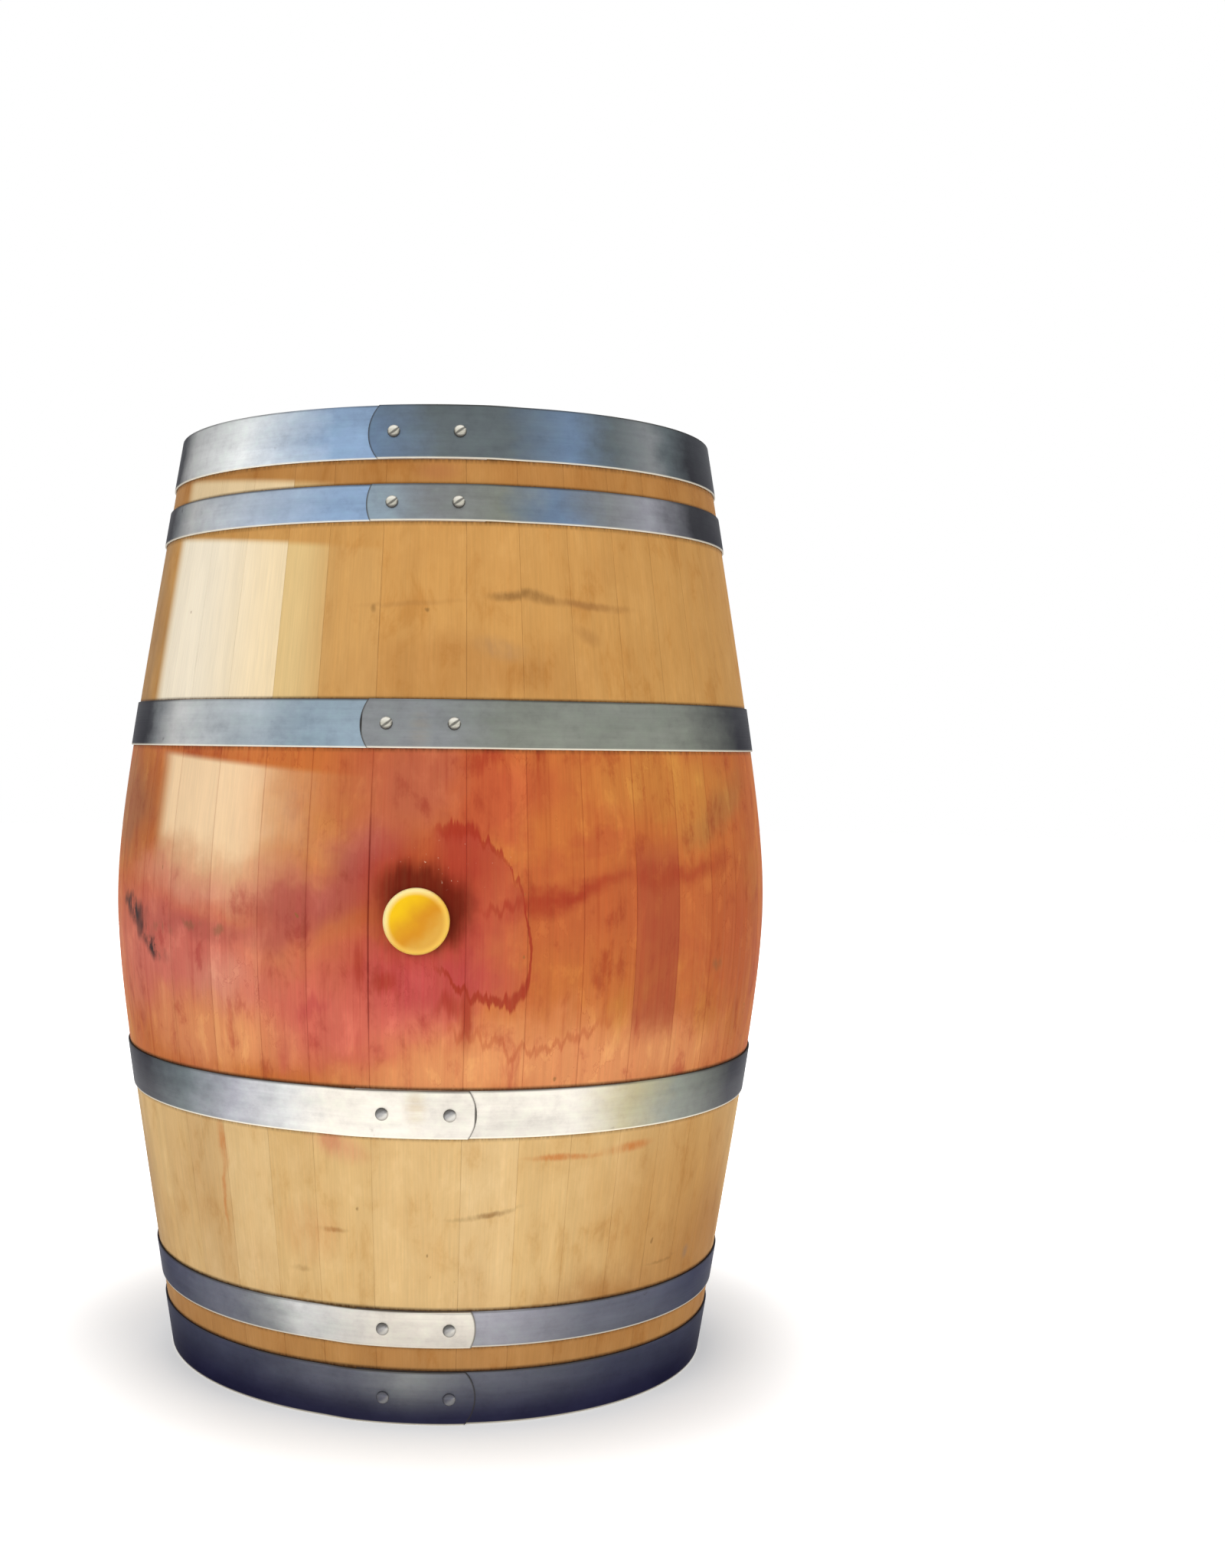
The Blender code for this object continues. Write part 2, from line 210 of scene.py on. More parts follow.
def store(geometry, **values):
    """Writes named values onto the mesh, for the shader to read."""
    for name, value in values.items():
        feeds = {"Geometry": geometry, "Name": name, "Value": value}
        geometry = add(geometry.tree, "GeometryNodeStoreNamedAttribute", feeds)
    return geometry


print("trees can be built; bends over", round(math.degrees(SHARP_BEND)), "degrees stay sharp")

# %% [markdown]
# Staves, hoops and turned pieces start alike: a flat outline is swept along a path, and every point of the
# mesh is then moved to where it belongs. For that, the tree has to know where a point lay in the drawing and
# how far along the path it is, and both are kept before the sweep.

# %% Sweeping an outline
def keep(geometry, kind, value):
    """Keeps a value on each point, so that later nodes still know it; gives the geometry and the value."""
    node = geometry.tree.nodes.new("GeometryNodeCaptureAttribute")
    node.capture_items.new(kind, "kept")
    geometry.tree.links.new(geometry.socket, node.inputs["Geometry"])
    geometry.tree.links.new(value.socket, node.inputs["kept"])
    return Wire(geometry.tree, node.outputs["Geometry"]), Wire(geometry.tree, node.outputs["kept"])


def straight(rows):
    """A straight path with this many points."""
    line = add(rows.tree, "GeometryNodeCurvePrimitiveLine")
    return add(rows.tree, "GeometryNodeResampleCurve", {"Curve": line, "Count": rows}, mode="COUNT")


def share_of_path(tree):
    """From 0 at the start of a path to 1 at its end."""
    return add(tree, "GeometryNodeSplineParameter")


def sweep(drawing, path, share, caps=True):
    """Sweeps a drawn outline along a path; gives the mesh, and for each point its x and y in the drawing
    and its share of the path."""
    tree = path.tree
    feeds = {"Object": drawing}
    drawn = add(tree, "GeometryNodeObjectInfo", feeds, out="Geometry", transform_space="ORIGINAL")
    drawn, place = keep(drawn, "VECTOR", add(tree, "GeometryNodeInputPosition"))
    path, share = keep(path, "FLOAT", share)
    feeds = {"Curve": path, "Profile Curve": drawn, "Fill Caps": caps}
    x, y, _ = split(place)
    return add(tree, "GeometryNodeCurveToMesh", feeds), x, y, share


def put(geometry, *place):
    """Moves every point to a place given by three wires."""
    feeds = {"Geometry": geometry, "Position": combine(*place)}
    return add(geometry.tree, "GeometryNodeSetPosition", feeds)


def put_round(geometry, radius, turn, height):
    """Moves every point so far off the barrel's axis, so far round from the bung, and so far up."""
    return put(geometry, radius * turn.math("SINE"), radius * turn.math("COSINE") * -1.0, height)


print("outlines can be swept")

# %% [markdown]
# A tree runs as a modifier, once for each piece, with that piece's values. The result is kept as a plain mesh
# and the modifier is removed, so that the piece no longer depends on the tree or on the drawn outline.

# %% Running a geometry tree
def new_object(name, data):
    obj = bpy.data.objects.new(name, data)
    bpy.context.scene.collection.objects.link(obj)
    return obj


def outline(name, points, closed=True):
    """A curve through (x, y) points, for a tree to sweep or turn."""
    curve = bpy.data.curves.new(name, "CURVE")
    spline = curve.splines.new("POLY")
    spline.points.add(len(points) - 1)
    for place, (x, y) in zip(spline.points, points):
        place.co = (x, y, 0.0, 1.0)
    spline.use_cyclic_u = closed
    return new_object(name, curve)


def plain_mesh(obj):
    """Replaces an object's mesh by its evaluated one and removes its modifiers."""
    graph = bpy.context.evaluated_depsgraph_get()
    mesh = bpy.data.meshes.new_from_object(obj.evaluated_get(graph))
    obj.modifiers.clear()
    obj.data = mesh
    mesh.name = obj.name
    return obj


def grow(name, tree, **values):
    """Runs a tree once, with these inputs, and keeps what it makes as a plain mesh."""
    obj = new_object(name, bpy.data.meshes.new(name))
    modifier = obj.modifiers.new(tree.name, "NODES")
    modifier.node_group = tree
    for item in tree.interface.items_tree:
        if item.in_out == "INPUT":
            modifier[item.identifier] = values[item.name]
    return plain_mesh(obj)


print("trees can be grown")

# %% [markdown]
# ## Shader helpers
#
# The finishes are procedural: they are formulas of where a point lies, so they need no pictures and stay
# sharp at any distance. A mark, such as a stain or a scuff, is an ellipse on the unrolled side of the barrel,
# with soft edges. Noise pushes those edges about, because spilt wine never stops on a clean line.

# %% Nodes that the finishes share
def new_material(name, inputs=()):
    """Gives a material, its tree and its shader, with some of the shader's inputs set."""
    material = bpy.data.materials.new(name)
    material.use_nodes = True
    shader = material.node_tree.nodes["Principled BSDF"]
    for label, value in dict(inputs).items():
        shader.inputs[label].default_value = value
    return material, material.node_tree, shader


def connect(wire, shader, name):
    wire.tree.links.new(wire.socket, shader.inputs[name])


def value_of(tree, name):
    """A value that a geometry tree stored on the mesh."""
    return add(tree, "ShaderNodeAttribute", out="Fac", attribute_name=name)


def noise(vector, scale=1.0, detail=2.0, roughness=0.5, distortion=0.0):
    feeds = {"Vector": vector, "Scale": scale, "Detail": detail, "Roughness": roughness}
    return add(vector.tree, "ShaderNodeTexNoise", {**feeds, "Distortion": distortion})


def blend(share, first, second, kind="MIX"):
    """Two colours mixed; a number or wire in place of a colour counts as grey."""
    tree = next(part.tree for part in (share, first, second) if isinstance(part, Wire))

    def colour(value):
        return (*value, 1.0) if isinstance(value, tuple) else value
    feeds = {0: share, 6: colour(first), 7: colour(second)}
    return add(tree, "ShaderNodeMix", feeds, out=2, data_type="RGBA", blend_type=kind)


def reach(where, centre, size, tilt=0.0):
    """How far out a place, a pair of wires, lies in an ellipse: 0 at its centre and 1 on its edge."""
    squares = []
    for turn, half in ((tilt, size[0]), (tilt + 90.0, size[1])):
        along, up = math.cos(math.radians(turn)) / half, math.sin(math.radians(turn)) / half
        shift = -along * centre[0] - up * centre[1]
        off = where[0].math("MULTIPLY_ADD", along, where[1].math("MULTIPLY_ADD", up, shift))
        squares.append(off * off)
    return (squares[0] + squares[1]).math("SQRT")


def mark(where, centre, size, tilt=0.0, *, inner):
    """1 in the inner share of an ellipse, fading to 0 at its edge."""
    return reach(where, centre, size, tilt).ramp(1.0, inner)


def bump(tree, shader, height, distance, strength):
    feeds = {"Strength": strength, "Distance": distance, "Height": height}
    connect(add(tree, "ShaderNodeBump", feeds), shader, "Normal")


print("finishes can be mixed")

# %% [markdown]
# ## Oak grain
#
# Stave oak is split along its rays, so the grain runs the length of the stave: thin dark pores a few
# centimetres long, over broad bands where the growth rings come to the surface. Both are noise that is
# stretched along the wood. The rings are made by folding a slow noise into many bands, which gives the long
# arches that a plain stripe never has. Each stave has its own seed, so no two look alike.

# %% Grain along a board
PORES_ACROSS, PORES_ALONG = 620.0, 26.0
FIBRES_ACROSS, FIBRES_ALONG = 330.0, 3.5
RINGS_ACROSS, RINGS_ALONG = 20.0, 1.2
RING_BANDS = 26.0


def grain(across, along, seed):
    """Pores, fibres and rings, each from 0 (dark) to 1 (light)."""
    shifted = across + seed
    pores = noise(combine(shifted * PORES_ACROSS, along * PORES_ALONG, seed), detail=1.0)
    fibres = noise(combine(shifted * FIBRES_ACROSS, along * FIBRES_ALONG, seed), detail=3.0)
    slow = noise(combine(shifted * RINGS_ACROSS, along * RINGS_ALONG, seed), detail=1.0)
    rings = (slow * RING_BANDS).math("SINE") * 0.5 + 0.5
    return pores, fibres, rings


print("grain:", round(1000 / PORES_ACROSS, 1), "mm pores on", round(1000 / FIBRES_ACROSS, 1), "mm fibres")

# %% [markdown]
# ## Where the hoops lie
#
# The finish of the wood needs to know where the hoops are, because dirt and painted shadow lie along their
# edges, the painted sunlight stops under them, and the wine stain stops under the two middle ones. Their
# heights come from the frame.

# %% Hoop places from the frame
ENDS = ("lower", "upper")
HOOP_KINDS = ("chime", "quarter", "bilge")
HOOP_NAMES = [f"{end}_{kind}" for end in ENDS for kind in HOOP_KINDS]
hoop_span = {}
for hoop_name in HOOP_NAMES:
    low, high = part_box(f"{hoop_name}_hoop")
    hoop_span[hoop_name] = (low.z, high.z)
    print(hoop_name, "hoop from", round(low.z * 1000, 1), "to", round(high.z * 1000, 1), "mm")

# %% [markdown]
# ## The wine-stained oak of the staves
#
# Three layers make this finish. The bare oak is pale at the lower end and a deeper gold at the upper one.
# Between the two bilge hoops the wood is painted with wine, orange to rose, and redder round the bung, where
# each filling spills a little. On top lie the marks of use: a tide line, drips in the joints, scuffs and
# mould. All the marks are placed on the unrolled barrel: metres round from the bung, and metres up.

# %% Colours of the wood and the wine
PALE_OAK = (0.760, 0.505, 0.218)
YELLOW_OAK = (0.780, 0.560, 0.290)
GOLD_OAK = (0.585, 0.302, 0.090)
BELT_OAK = (0.430, 0.190, 0.052)
TAN_OAK = (0.610, 0.390, 0.195)
# The next three colours, and WINE_CREAM below, paint a patch of sunlight on the left staves
HONEY_OAK = (0.760, 0.560, 0.260)
CREAM_OAK = (0.890, 0.710, 0.450)
SUNSHINE_OAK = (0.990, 0.880, 0.690)
# Painted shade along the left edge of the barrel
SHADED_EDGE_OAK = (0.400, 0.225, 0.092)
OAK_PALER = (1.070, 1.100, 1.160)
OAK_DARKER = (0.880, 0.800, 0.700)
END_GRAIN = (0.420, 0.240, 0.100)
TOASTED_OAK = (0.050, 0.026, 0.014)
WINE_ORANGE = (0.570, 0.155, 0.038)
WINE_AMBER = (0.790, 0.310, 0.125)
WINE_GOLD = (0.590, 0.225, 0.048)
WINE_BRICK = (0.490, 0.086, 0.032)
WINE_RUST = (0.460, 0.105, 0.054)
WINE_ROSE = (0.660, 0.170, 0.128)
WINE_PINK = (0.760, 0.330, 0.220)
WINE_MAUVE = (0.410, 0.078, 0.072)
WINE_CRIMSON = (0.660, 0.132, 0.098)
WINE_CHERRY = (0.490, 0.050, 0.058)
WINE_RED = (0.360, 0.026, 0.014)
WINE_MAROON = (0.120, 0.002, 0.001)
WINE_PURPLE = (0.380, 0.055, 0.034)
WINE_CREAM = (0.990, 0.740, 0.450)
WINE_BROWN = (0.380, 0.135, 0.056)
WINE_THIN = (1.160, 1.400, 1.350)
WINE_DEEP = (0.760, 0.500, 0.560)
BROWN_SCUFF = (0.260, 0.125, 0.038)
OLIVE_SCUFF = (0.360, 0.165, 0.050)
ORANGE_SCUFF = (0.600, 0.200, 0.050)
GREY_SMUDGE = (0.330, 0.200, 0.110)
GREY_MOULD = (0.030, 0.020, 0.020)
GREEN_MOULD = (0.190, 0.110, 0.050)
CRUST = (0.800, 0.560, 0.400)
# Dirt in the joints and heads; along the hoops it is painted shadow as well
DIRT_AND_PAINTED_SHADE = (0.075, 0.032, 0.014)
print("deepest wine, as a share of the palest oak:", round(sum(WINE_MAROON) / sum(PALE_OAK), 3))

# %% [markdown]
# The marks are kept in five tables. Each row says where a mark lies, how large it is, how it is tilted in
# degrees, how strongly it covers, and its colour. The first two tables are clouds with soft edges: tones of
# the bare oak, and wine that soaked in; a few of them are painted shade, as marked.

# %% Tables of clouds
OAK_CLOUDS = (
    # The first three rows are painted shadow on the lower right, near the lower hoops
    ((0.345, 0.190), (0.230, 0.200), 0, 0.85, GOLD_OAK),
    ((0.400, 0.130), (0.170, 0.110), 0, 0.75, BELT_OAK),
    ((0.240, 0.100), (0.170, 0.055), -4, 0.75, BELT_OAK),
    ((0.040, 0.700), (0.170, 0.050), 0, 0.60, BELT_OAK),
    # The last two rows are painted shade along the left edge
    ((-0.470, 0.700), (0.150, 0.300), 0, 1.60, SHADED_EDGE_OAK),
    ((-0.490, 0.150), (0.150, 0.220), 0, 1.00, SHADED_EDGE_OAK),
)
WINE_CLOUDS = (
    ((0.270, 0.600), (0.180, 0.055), 0, 0.80, WINE_GOLD),
    ((0.190, 0.480), (0.260, 0.070), 4, 0.55, WINE_BRICK),
    ((0.380, 0.440), (0.120, 0.090), 0, 0.60, WINE_BRICK),
    ((-0.270, 0.430), (0.260, 0.105), 0, 0.95, WINE_ROSE),
    ((-0.235, 0.507), (0.160, 0.040), 0, 0.80, WINE_PINK),
    ((-0.195, 0.405), (0.080, 0.040), 0, 0.50, WINE_PINK),
    ((-0.110, 0.485), (0.100, 0.048), 0, 0.80, WINE_MAUVE),
    ((-0.240, 0.458), (0.190, 0.020), 0, 0.45, WINE_MAUVE),
    ((-0.090, 0.385), (0.130, 0.075), 10, 0.90, WINE_CRIMSON),
    ((0.000, 0.390), (0.085, 0.065), 0, 0.90, WINE_CRIMSON),
    ((-0.010, 0.600), (0.100, 0.095), 0, 0.95, WINE_RUST),
    ((-0.050, 0.520), (0.065, 0.065), 0, 0.90, WINE_MAUVE),
    ((0.066, 0.585), (0.058, 0.075), -25, 1.20, WINE_BRICK),
    ((0.110, 0.600), (0.060, 0.040), 0, 0.65, WINE_BRICK),
    ((0.000, 0.428), (0.100, 0.050), 0, 0.90, WINE_CHERRY),
    ((0.345, 0.575), (0.100, 0.034), 20, 0.45, OLIVE_SCUFF),
    ((0.170, 0.345), (0.280, 0.066), 0, 0.90, WINE_AMBER),
    ((-0.220, 0.360), (0.140, 0.056), 0, 1.00, WINE_AMBER),
    ((0.010, 0.328), (0.130, 0.036), 0, 0.70, WINE_AMBER),
    # Painted shade along the left edge of the stain
    ((-0.400, 0.575), (0.130, 0.085), 0, 1.20, WINE_BROWN),
)
print("clouds:", len(OAK_CLOUDS), "of oak and", len(WINE_CLOUDS), "of wine")

# %% [markdown]
# The other three tables are smaller marks. Spills end in teeth, where the wine crept along the grain. Scuffs
# are dry, so they keep to the surface. Mould grows in spots. One stain, between the upper hoops, stands by
# itself.

# %% Tables of spills, scuffs and mould
WINE_SPILLS = (
    ((0.040, 0.556), (0.034, 0.011), 0, 0.75, WINE_RED),
    ((0.066, 0.621), (0.034, 0.015), 0, 0.60, WINE_RED),
    ((0.046, 0.388), (0.009, 0.044), 0, 0.85, WINE_RED),
    ((0.030, 0.396), (0.018, 0.016), 0, 0.60, WINE_RED),
    ((-0.028, 0.418), (0.020, 0.016), 0, 0.70, WINE_RED),
    ((-0.052, 0.432), (0.008, 0.028), 0, 0.55, WINE_RED),
    ((-0.100, 0.395), (0.022, 0.012), 0, 0.50, WINE_CHERRY),
    ((-0.130, 0.350), (0.012, 0.030), 0, 0.45, WINE_CHERRY),
    ((0.082, 0.487), (0.042, 0.0075), 8, 0.60, WINE_RED),
)
BELT_STAIN = ((0.015, 0.888), (0.040, 0.014), 0, 0.45, WINE_BROWN)
SCUFFS = (
    ((0.088, 0.773), (0.032, 0.0065), 4, 0.85, BROWN_SCUFF),
    ((0.118, 0.770), (0.036, 0.0085), -14, 0.95, BROWN_SCUFF),
    ((0.180, 0.763), (0.075, 0.0060), -3, 0.85, OLIVE_SCUFF),
    ((-0.010, 0.763), (0.075, 0.0040), 3, 0.30, OLIVE_SCUFF),
    ((-0.047, 0.758), (0.004, 0.0060), 0, 0.80, BROWN_SCUFF),
    ((0.004, 0.757), (0.003, 0.0030), 0, 0.80, BROWN_SCUFF),
    ((0.077, 0.724), (0.034, 0.0150), -8, 0.50, GREY_SMUDGE),
    ((0.171, 0.735), (0.026, 0.0100), -15, 0.50, OLIVE_SCUFF),
    ((0.152, 0.254), (0.056, 0.0045), -1, 0.85, ORANGE_SCUFF),
    ((0.222, 0.256), (0.042, 0.0070), 3, 0.95, ORANGE_SCUFF),
    ((-0.219, 0.250), (0.008, 0.0350), 2, 0.90, ORANGE_SCUFF),
    ((-0.220, 0.205), (0.0035, 0.0500), 0, 0.70, ORANGE_SCUFF),
    ((-0.079, 0.266), (0.040, 0.0200), -20, 0.45, WINE_ROSE),
    ((0.070, 0.204), (0.050, 0.0040), 8, 0.65, BROWN_SCUFF),
    ((-0.090, 0.184), (0.022, 0.0040), 0, 0.70, OLIVE_SCUFF),
    ((-0.115, 0.178), (0.045, 0.0400), 0, 0.45, ORANGE_SCUFF),
    ((-0.130, 0.143), (0.016, 0.0045), 0, 0.60, OLIVE_SCUFF),
    ((0.351, 0.134), (0.012, 0.0100), 20, 0.75, GREY_SMUDGE),
    ((0.300, 0.137), (0.034, 0.0025), 3, 0.50, BROWN_SCUFF),
    ((-0.0615, 0.205), (0.002, 0.0025), 0, 0.90, BROWN_SCUFF),
    ((0.015, 0.164), (0.002, 0.0025), 0, 0.90, BROWN_SCUFF),
    ((-0.453, 0.190), (0.010, 0.0120), 0, 0.70, BROWN_SCUFF),
    ((0.620, 0.205), (0.060, 0.0050), 6, 0.60, OLIVE_SCUFF),
    ((-0.740, 0.742), (0.070, 0.0060), -4, 0.60, BROWN_SCUFF),
    ((0.830, 0.700), (0.030, 0.0120), 0, 0.50, GREY_SMUDGE),
)
MOULD = (
    ((-0.354, 0.464), (0.044, 0.0170), -12, 1.00, GREY_MOULD),
    ((-0.318, 0.440), (0.052, 0.0150), -25, 1.00, GREY_MOULD),
    ((-0.378, 0.474), (0.030, 0.0100), 0, 0.80, GREY_MOULD),
    ((-0.292, 0.451), (0.030, 0.0090), 0, 0.55, GREEN_MOULD),
    ((-0.240, 0.459), (0.022, 0.0070), 0, 0.50, GREEN_MOULD),
    ((-0.200, 0.458), (0.012, 0.0060), 0, 0.50, GREEN_MOULD),
    ((0.330, 0.425), (0.014, 0.0100), 0, 0.45, GREEN_MOULD),
)
print("marks:", len(WINE_SPILLS), "spills,", len(SCUFFS), "scuffs and", len(MOULD), "patches of mould")

# %% [markdown]
# The finish needs a few maps. A plain one tells where a point lies on the unrolled barrel. The others are the
# same map pushed about by noise: cloudy for broad stains, ragged along the grain for spills, soaked for the
# halo of the bung and for mould, and rubbed, which is nearly plain, for scuffs. What belongs to one stave,
# such as its tone, is stored on its mesh when it is grown, further down.

# %% Maps of the unrolled barrel
MARK_INNER = 0.15


def wood_maps(tree):
    x, y, z = split(add(tree, "ShaderNodeTexCoord", out="Object"))
    wood = SimpleNamespace(z=z, round_way=x.math("ARCTAN2", y * -1.0) * BILGE_RADIUS)
    for name in ("across", "edge", "depth", "tone", "pale", "soak", "seed"):
        setattr(wood, name, value_of(tree, name))
    wood.pores, wood.fibres, wood.rings = grain(wood.across, z, wood.seed)
    wood.cloud = noise(combine(wood.round_way, z), 9.0, detail=5.0, roughness=0.62)
    wood.cloud_up = noise(combine(z, wood.round_way, 3.0), 9.0, detail=5.0, roughness=0.62)
    wood.teeth = noise(combine(wood.round_way * 95.0, z * 9.0), detail=3.0, roughness=0.65)
    wood.mottle = noise(combine(wood.round_way, z * 0.5, 2.0), 30.0, 5.0, 0.66, distortion=0.3)
    wood.wick = noise(combine(wood.round_way * 120.0, z * 6.0, 1.0), detail=3.0)
    off, up = wood.cloud - 0.5, wood.cloud_up - 0.5
    wood.flat = (wood.round_way, z)
    wood.cloudy = (wood.round_way + off * 0.09, z + up * 0.09)
    wood.ragged = (wood.round_way + off * 0.02, z + (wood.teeth - 0.5) * 0.050)
    wood.soaked = (wood.round_way + off * 0.05, z + up * 0.03 + (wood.teeth - 0.5) * 0.030)
    uneven = up * 0.012 + (wood.fibres - 0.5) * 0.003 + wood.tone * 0.004
    wood.rubbed = (wood.round_way + off * 0.03, z + uneven)
    return wood


def lay(marks, where, colour, cover=1.0):
    """Lays a table of marks over a colour, one after the other."""
    for centre, size, tilt, strength, own_colour in marks:
        own_share = mark(where, centre, size, tilt, inner=MARK_INNER) * cover * strength
        colour = blend(own_share, colour, own_colour)
    return colour


print("maps and marks are ready")

# %% [markdown]
# Bare oak changes from stave to stave more than it does along one: a joint shows as a step in tone, hardly as
# a line. On some staves at the left a patch of sunlight is painted, cream above the bilge, and right under
# the hoops it is cut off by their painted shadow.

# %% Bare oak
# The painted sunlight fades in between these two places round from the bung; the painted shadow under each
# hoop widens at this slope
SUN_FROM, SUN_TO = -0.365, -0.335
SHADE_SLOPE = 0.075


def unshaded(wood, hoop):
    """1 below this hoop's wedge of painted shadow, which widens away from the sunlit side."""
    below = hoop_span[hoop][0] - wood.z - (wood.round_way - SUN_TO) * SHADE_SLOPE
    return below.ramp(0.0, 0.008) * wood.round_way.ramp(SUN_FROM, SUN_TO)


def painted_sunlight(wood):
    """1 on the bare wood where a patch of sunlight is painted."""
    upper = hoop_span["upper_quarter"]
    below = unshaded(wood, "upper_quarter") * wood.z.ramp(0.60, 0.66)
    return below + unshaded(wood, "upper_chime") * wood.z.math("GREATER_THAN", upper[0]) * 0.7


def bare_oak(wood):
    lower, upper = hoop_span["lower_quarter"], hoop_span["upper_quarter"]
    belt = wood.z.ramp(lower[1], lower[0]) + wood.z.ramp(*upper)
    colour = blend(wood.z.ramp(0.30, 0.66), PALE_OAK, GOLD_OAK)
    colour = blend(wood.tone.ramp(0.0, 1.0) * wood.z.ramp(0.70, 0.30) * 0.8, colour, YELLOW_OAK)
    darker = blend(wood.z.ramp(0.30, 0.66), TAN_OAK, GOLD_OAK)
    colour = blend(wood.tone.ramp(0.0, -1.0) * 0.6, colour, darker)
    colour = blend(belt * 0.85, colour, BELT_OAK)
    colour = lay(OAK_CLOUDS, wood.cloudy, colour)
    colour = blend(wood.cloud.ramp(0.46, 0.72) * 0.30, colour, GOLD_OAK)
    colour = blend(wood.cloud_up.ramp(0.50, 0.75) * 0.22, colour, BELT_OAK)
    colour = blend(wood.mottle.ramp(0.50, 0.70), colour, OAK_DARKER, "MULTIPLY")
    colour = blend(wood.mottle.ramp(0.50, 0.30), colour, OAK_PALER, "MULTIPLY")
    # Painted sunlight: honey at its edge, cream to nearly white where it is strongest
    sunlit = painted_sunlight(wood)
    honey = wood.pale.ramp(0.0, 0.5) * (0.25 + wood.round_way.ramp(-0.085, -0.140) * 0.65)
    colour = blend(honey * sunlit, colour, HONEY_OAK)
    whiter = wood.round_way.ramp(-0.150, -0.290) * (1.0 - belt)
    sunniest = blend(whiter, CREAM_OAK, SUNSHINE_OAK)
    return blend(wood.pale.ramp(0.4, 1.0) * sunlit * 0.95, colour, sunniest)


print("bare oak, bleached up to", round(-SUN_TO * 1000), "mm left of the bung")

# %% [markdown]
# The wine is laid on in the order in which it came: broad clouds that soaked in, then streaks, then the
# spills beside the bung. A spill dries from its edge inwards and leaves a dark line there, so a tide line is
# the edge of an ellipse, made ragged by the grain.

# %% Wine
TIDE_CENTRE, TIDE_SIZE, TIDE_TILT = (0.051, 0.479), (0.048, 0.083), 20.0
LOW_TIDE_CENTRE, LOW_TIDE_SIZE = (0.105, 0.480), (0.130, 0.123)
SOAKED_BOARD = ((0.240, 0.455), (0.200, 0.105))
NEAR_STREAK = ((0.140, 0.494), (0.120, 0.018), 12.0)
FAR_STREAK = ((0.290, 0.515), (0.150, 0.020), 2.0)
RED_HALO = ((0.000, 0.496), (0.085, 0.078))
DARK_HALO = ((0.007, 0.487), (0.053, 0.048))
CRUST_PLACE = ((0.030, 0.525), (0.080, 0.026))


def soaked_wine(wood):
    stain = blend(wood.cloud_up.ramp(0.50, 0.66) * 0.50, WINE_ORANGE, WINE_GOLD)
    stain = blend(wood.cloud.ramp(0.50, 0.38) * 0.50, stain, WINE_BRICK)
    stain = lay(WINE_CLOUDS, wood.cloudy, stain)
    thinner = wood.mottle.ramp(0.50, 0.72) + wood.tone.ramp(0.0, 1.0) * 0.5
    stain = blend(thinner, stain, WINE_THIN, "MULTIPLY")
    deeper = wood.mottle.ramp(0.48, 0.28) + wood.tone.ramp(0.0, -1.0) * 0.4
    stain = blend(deeper, stain, WINE_DEEP, "MULTIPLY")
    wicked = wood.wick.ramp(0.48, 0.75) * wood.fibres.ramp(0.3, 0.6)
    stain = blend(wicked * 0.55, stain, WINE_DEEP, "MULTIPLY")
    drying = abs(wood.mottle - 0.56).ramp(0.012, 0.002) * wood.cloud.ramp(0.48, 0.62)
    stain = blend(drying * 0.50, stain, WINE_DEEP, "MULTIPLY")
    purple = wood.soak * mark(wood.cloudy, *SOAKED_BOARD, inner=0.6)
    stain = blend(purple * (0.30 + wood.fibres * 0.4), stain, WINE_PURPLE)
    streak = mark(wood.cloudy, *NEAR_STREAK, inner=0.0)
    streak = streak.most(mark(wood.cloudy, *FAR_STREAK, inner=0.0) * 0.7)
    return blend(streak * 0.85, stain, WINE_RED)


def tide_lines(wood, stain):
    """The edges of two spills: a ring to the right of the bung, and the foot of a larger one below it."""
    right_side = wood.round_way.ramp(0.005, 0.035)
    tide = reach(wood.ragged, TIDE_CENTRE, TIDE_SIZE, TIDE_TILT)
    inside = tide.ramp(1.02, 0.94) * right_side * wood.round_way.ramp(0.120, 0.050)
    stain = blend(inside * 0.55, stain, WINE_CHERRY)
    stain = blend(inside * wood.z.ramp(0.470, 0.530) * 0.60, stain, WINE_RED)
    ends = abs(wood.z - TIDE_CENTRE[1]).ramp(0.035, 0.075)
    line = (abs(tide - 1.0) / (0.035 + ends * 0.055)).ramp(1.0, 0.3) * right_side
    stain = blend(line * wood.cloud_up.ramp(0.25, 0.45) * 0.88, stain, WINE_RED)
    low_tide = abs(reach(wood.ragged, LOW_TIDE_CENTRE, LOW_TIDE_SIZE) - 1.0).ramp(0.050, 0.010)
    return blend(low_tide * wood.z.ramp(0.395, 0.372) * right_side * 0.45, stain, WINE_BRICK)


def spilt_wine(wood, stain):
    stain = lay(WINE_SPILLS, wood.ragged, tide_lines(wood, stain))
    stain = blend(mark(wood.soaked, *RED_HALO, inner=0.25) * 0.80, stain, WINE_RED)
    stain = blend(mark(wood.soaked, *DARK_HALO, inner=0.50) * 0.94, stain, WINE_MAROON)
    crust = noise(combine(*wood.flat, 5.0), 240.0, detail=2.0).ramp(0.68, 0.76)
    crust = crust * mark(wood.cloudy, *CRUST_PLACE, inner=0.3)
    return blend(crust * 0.6, stain, CRUST)


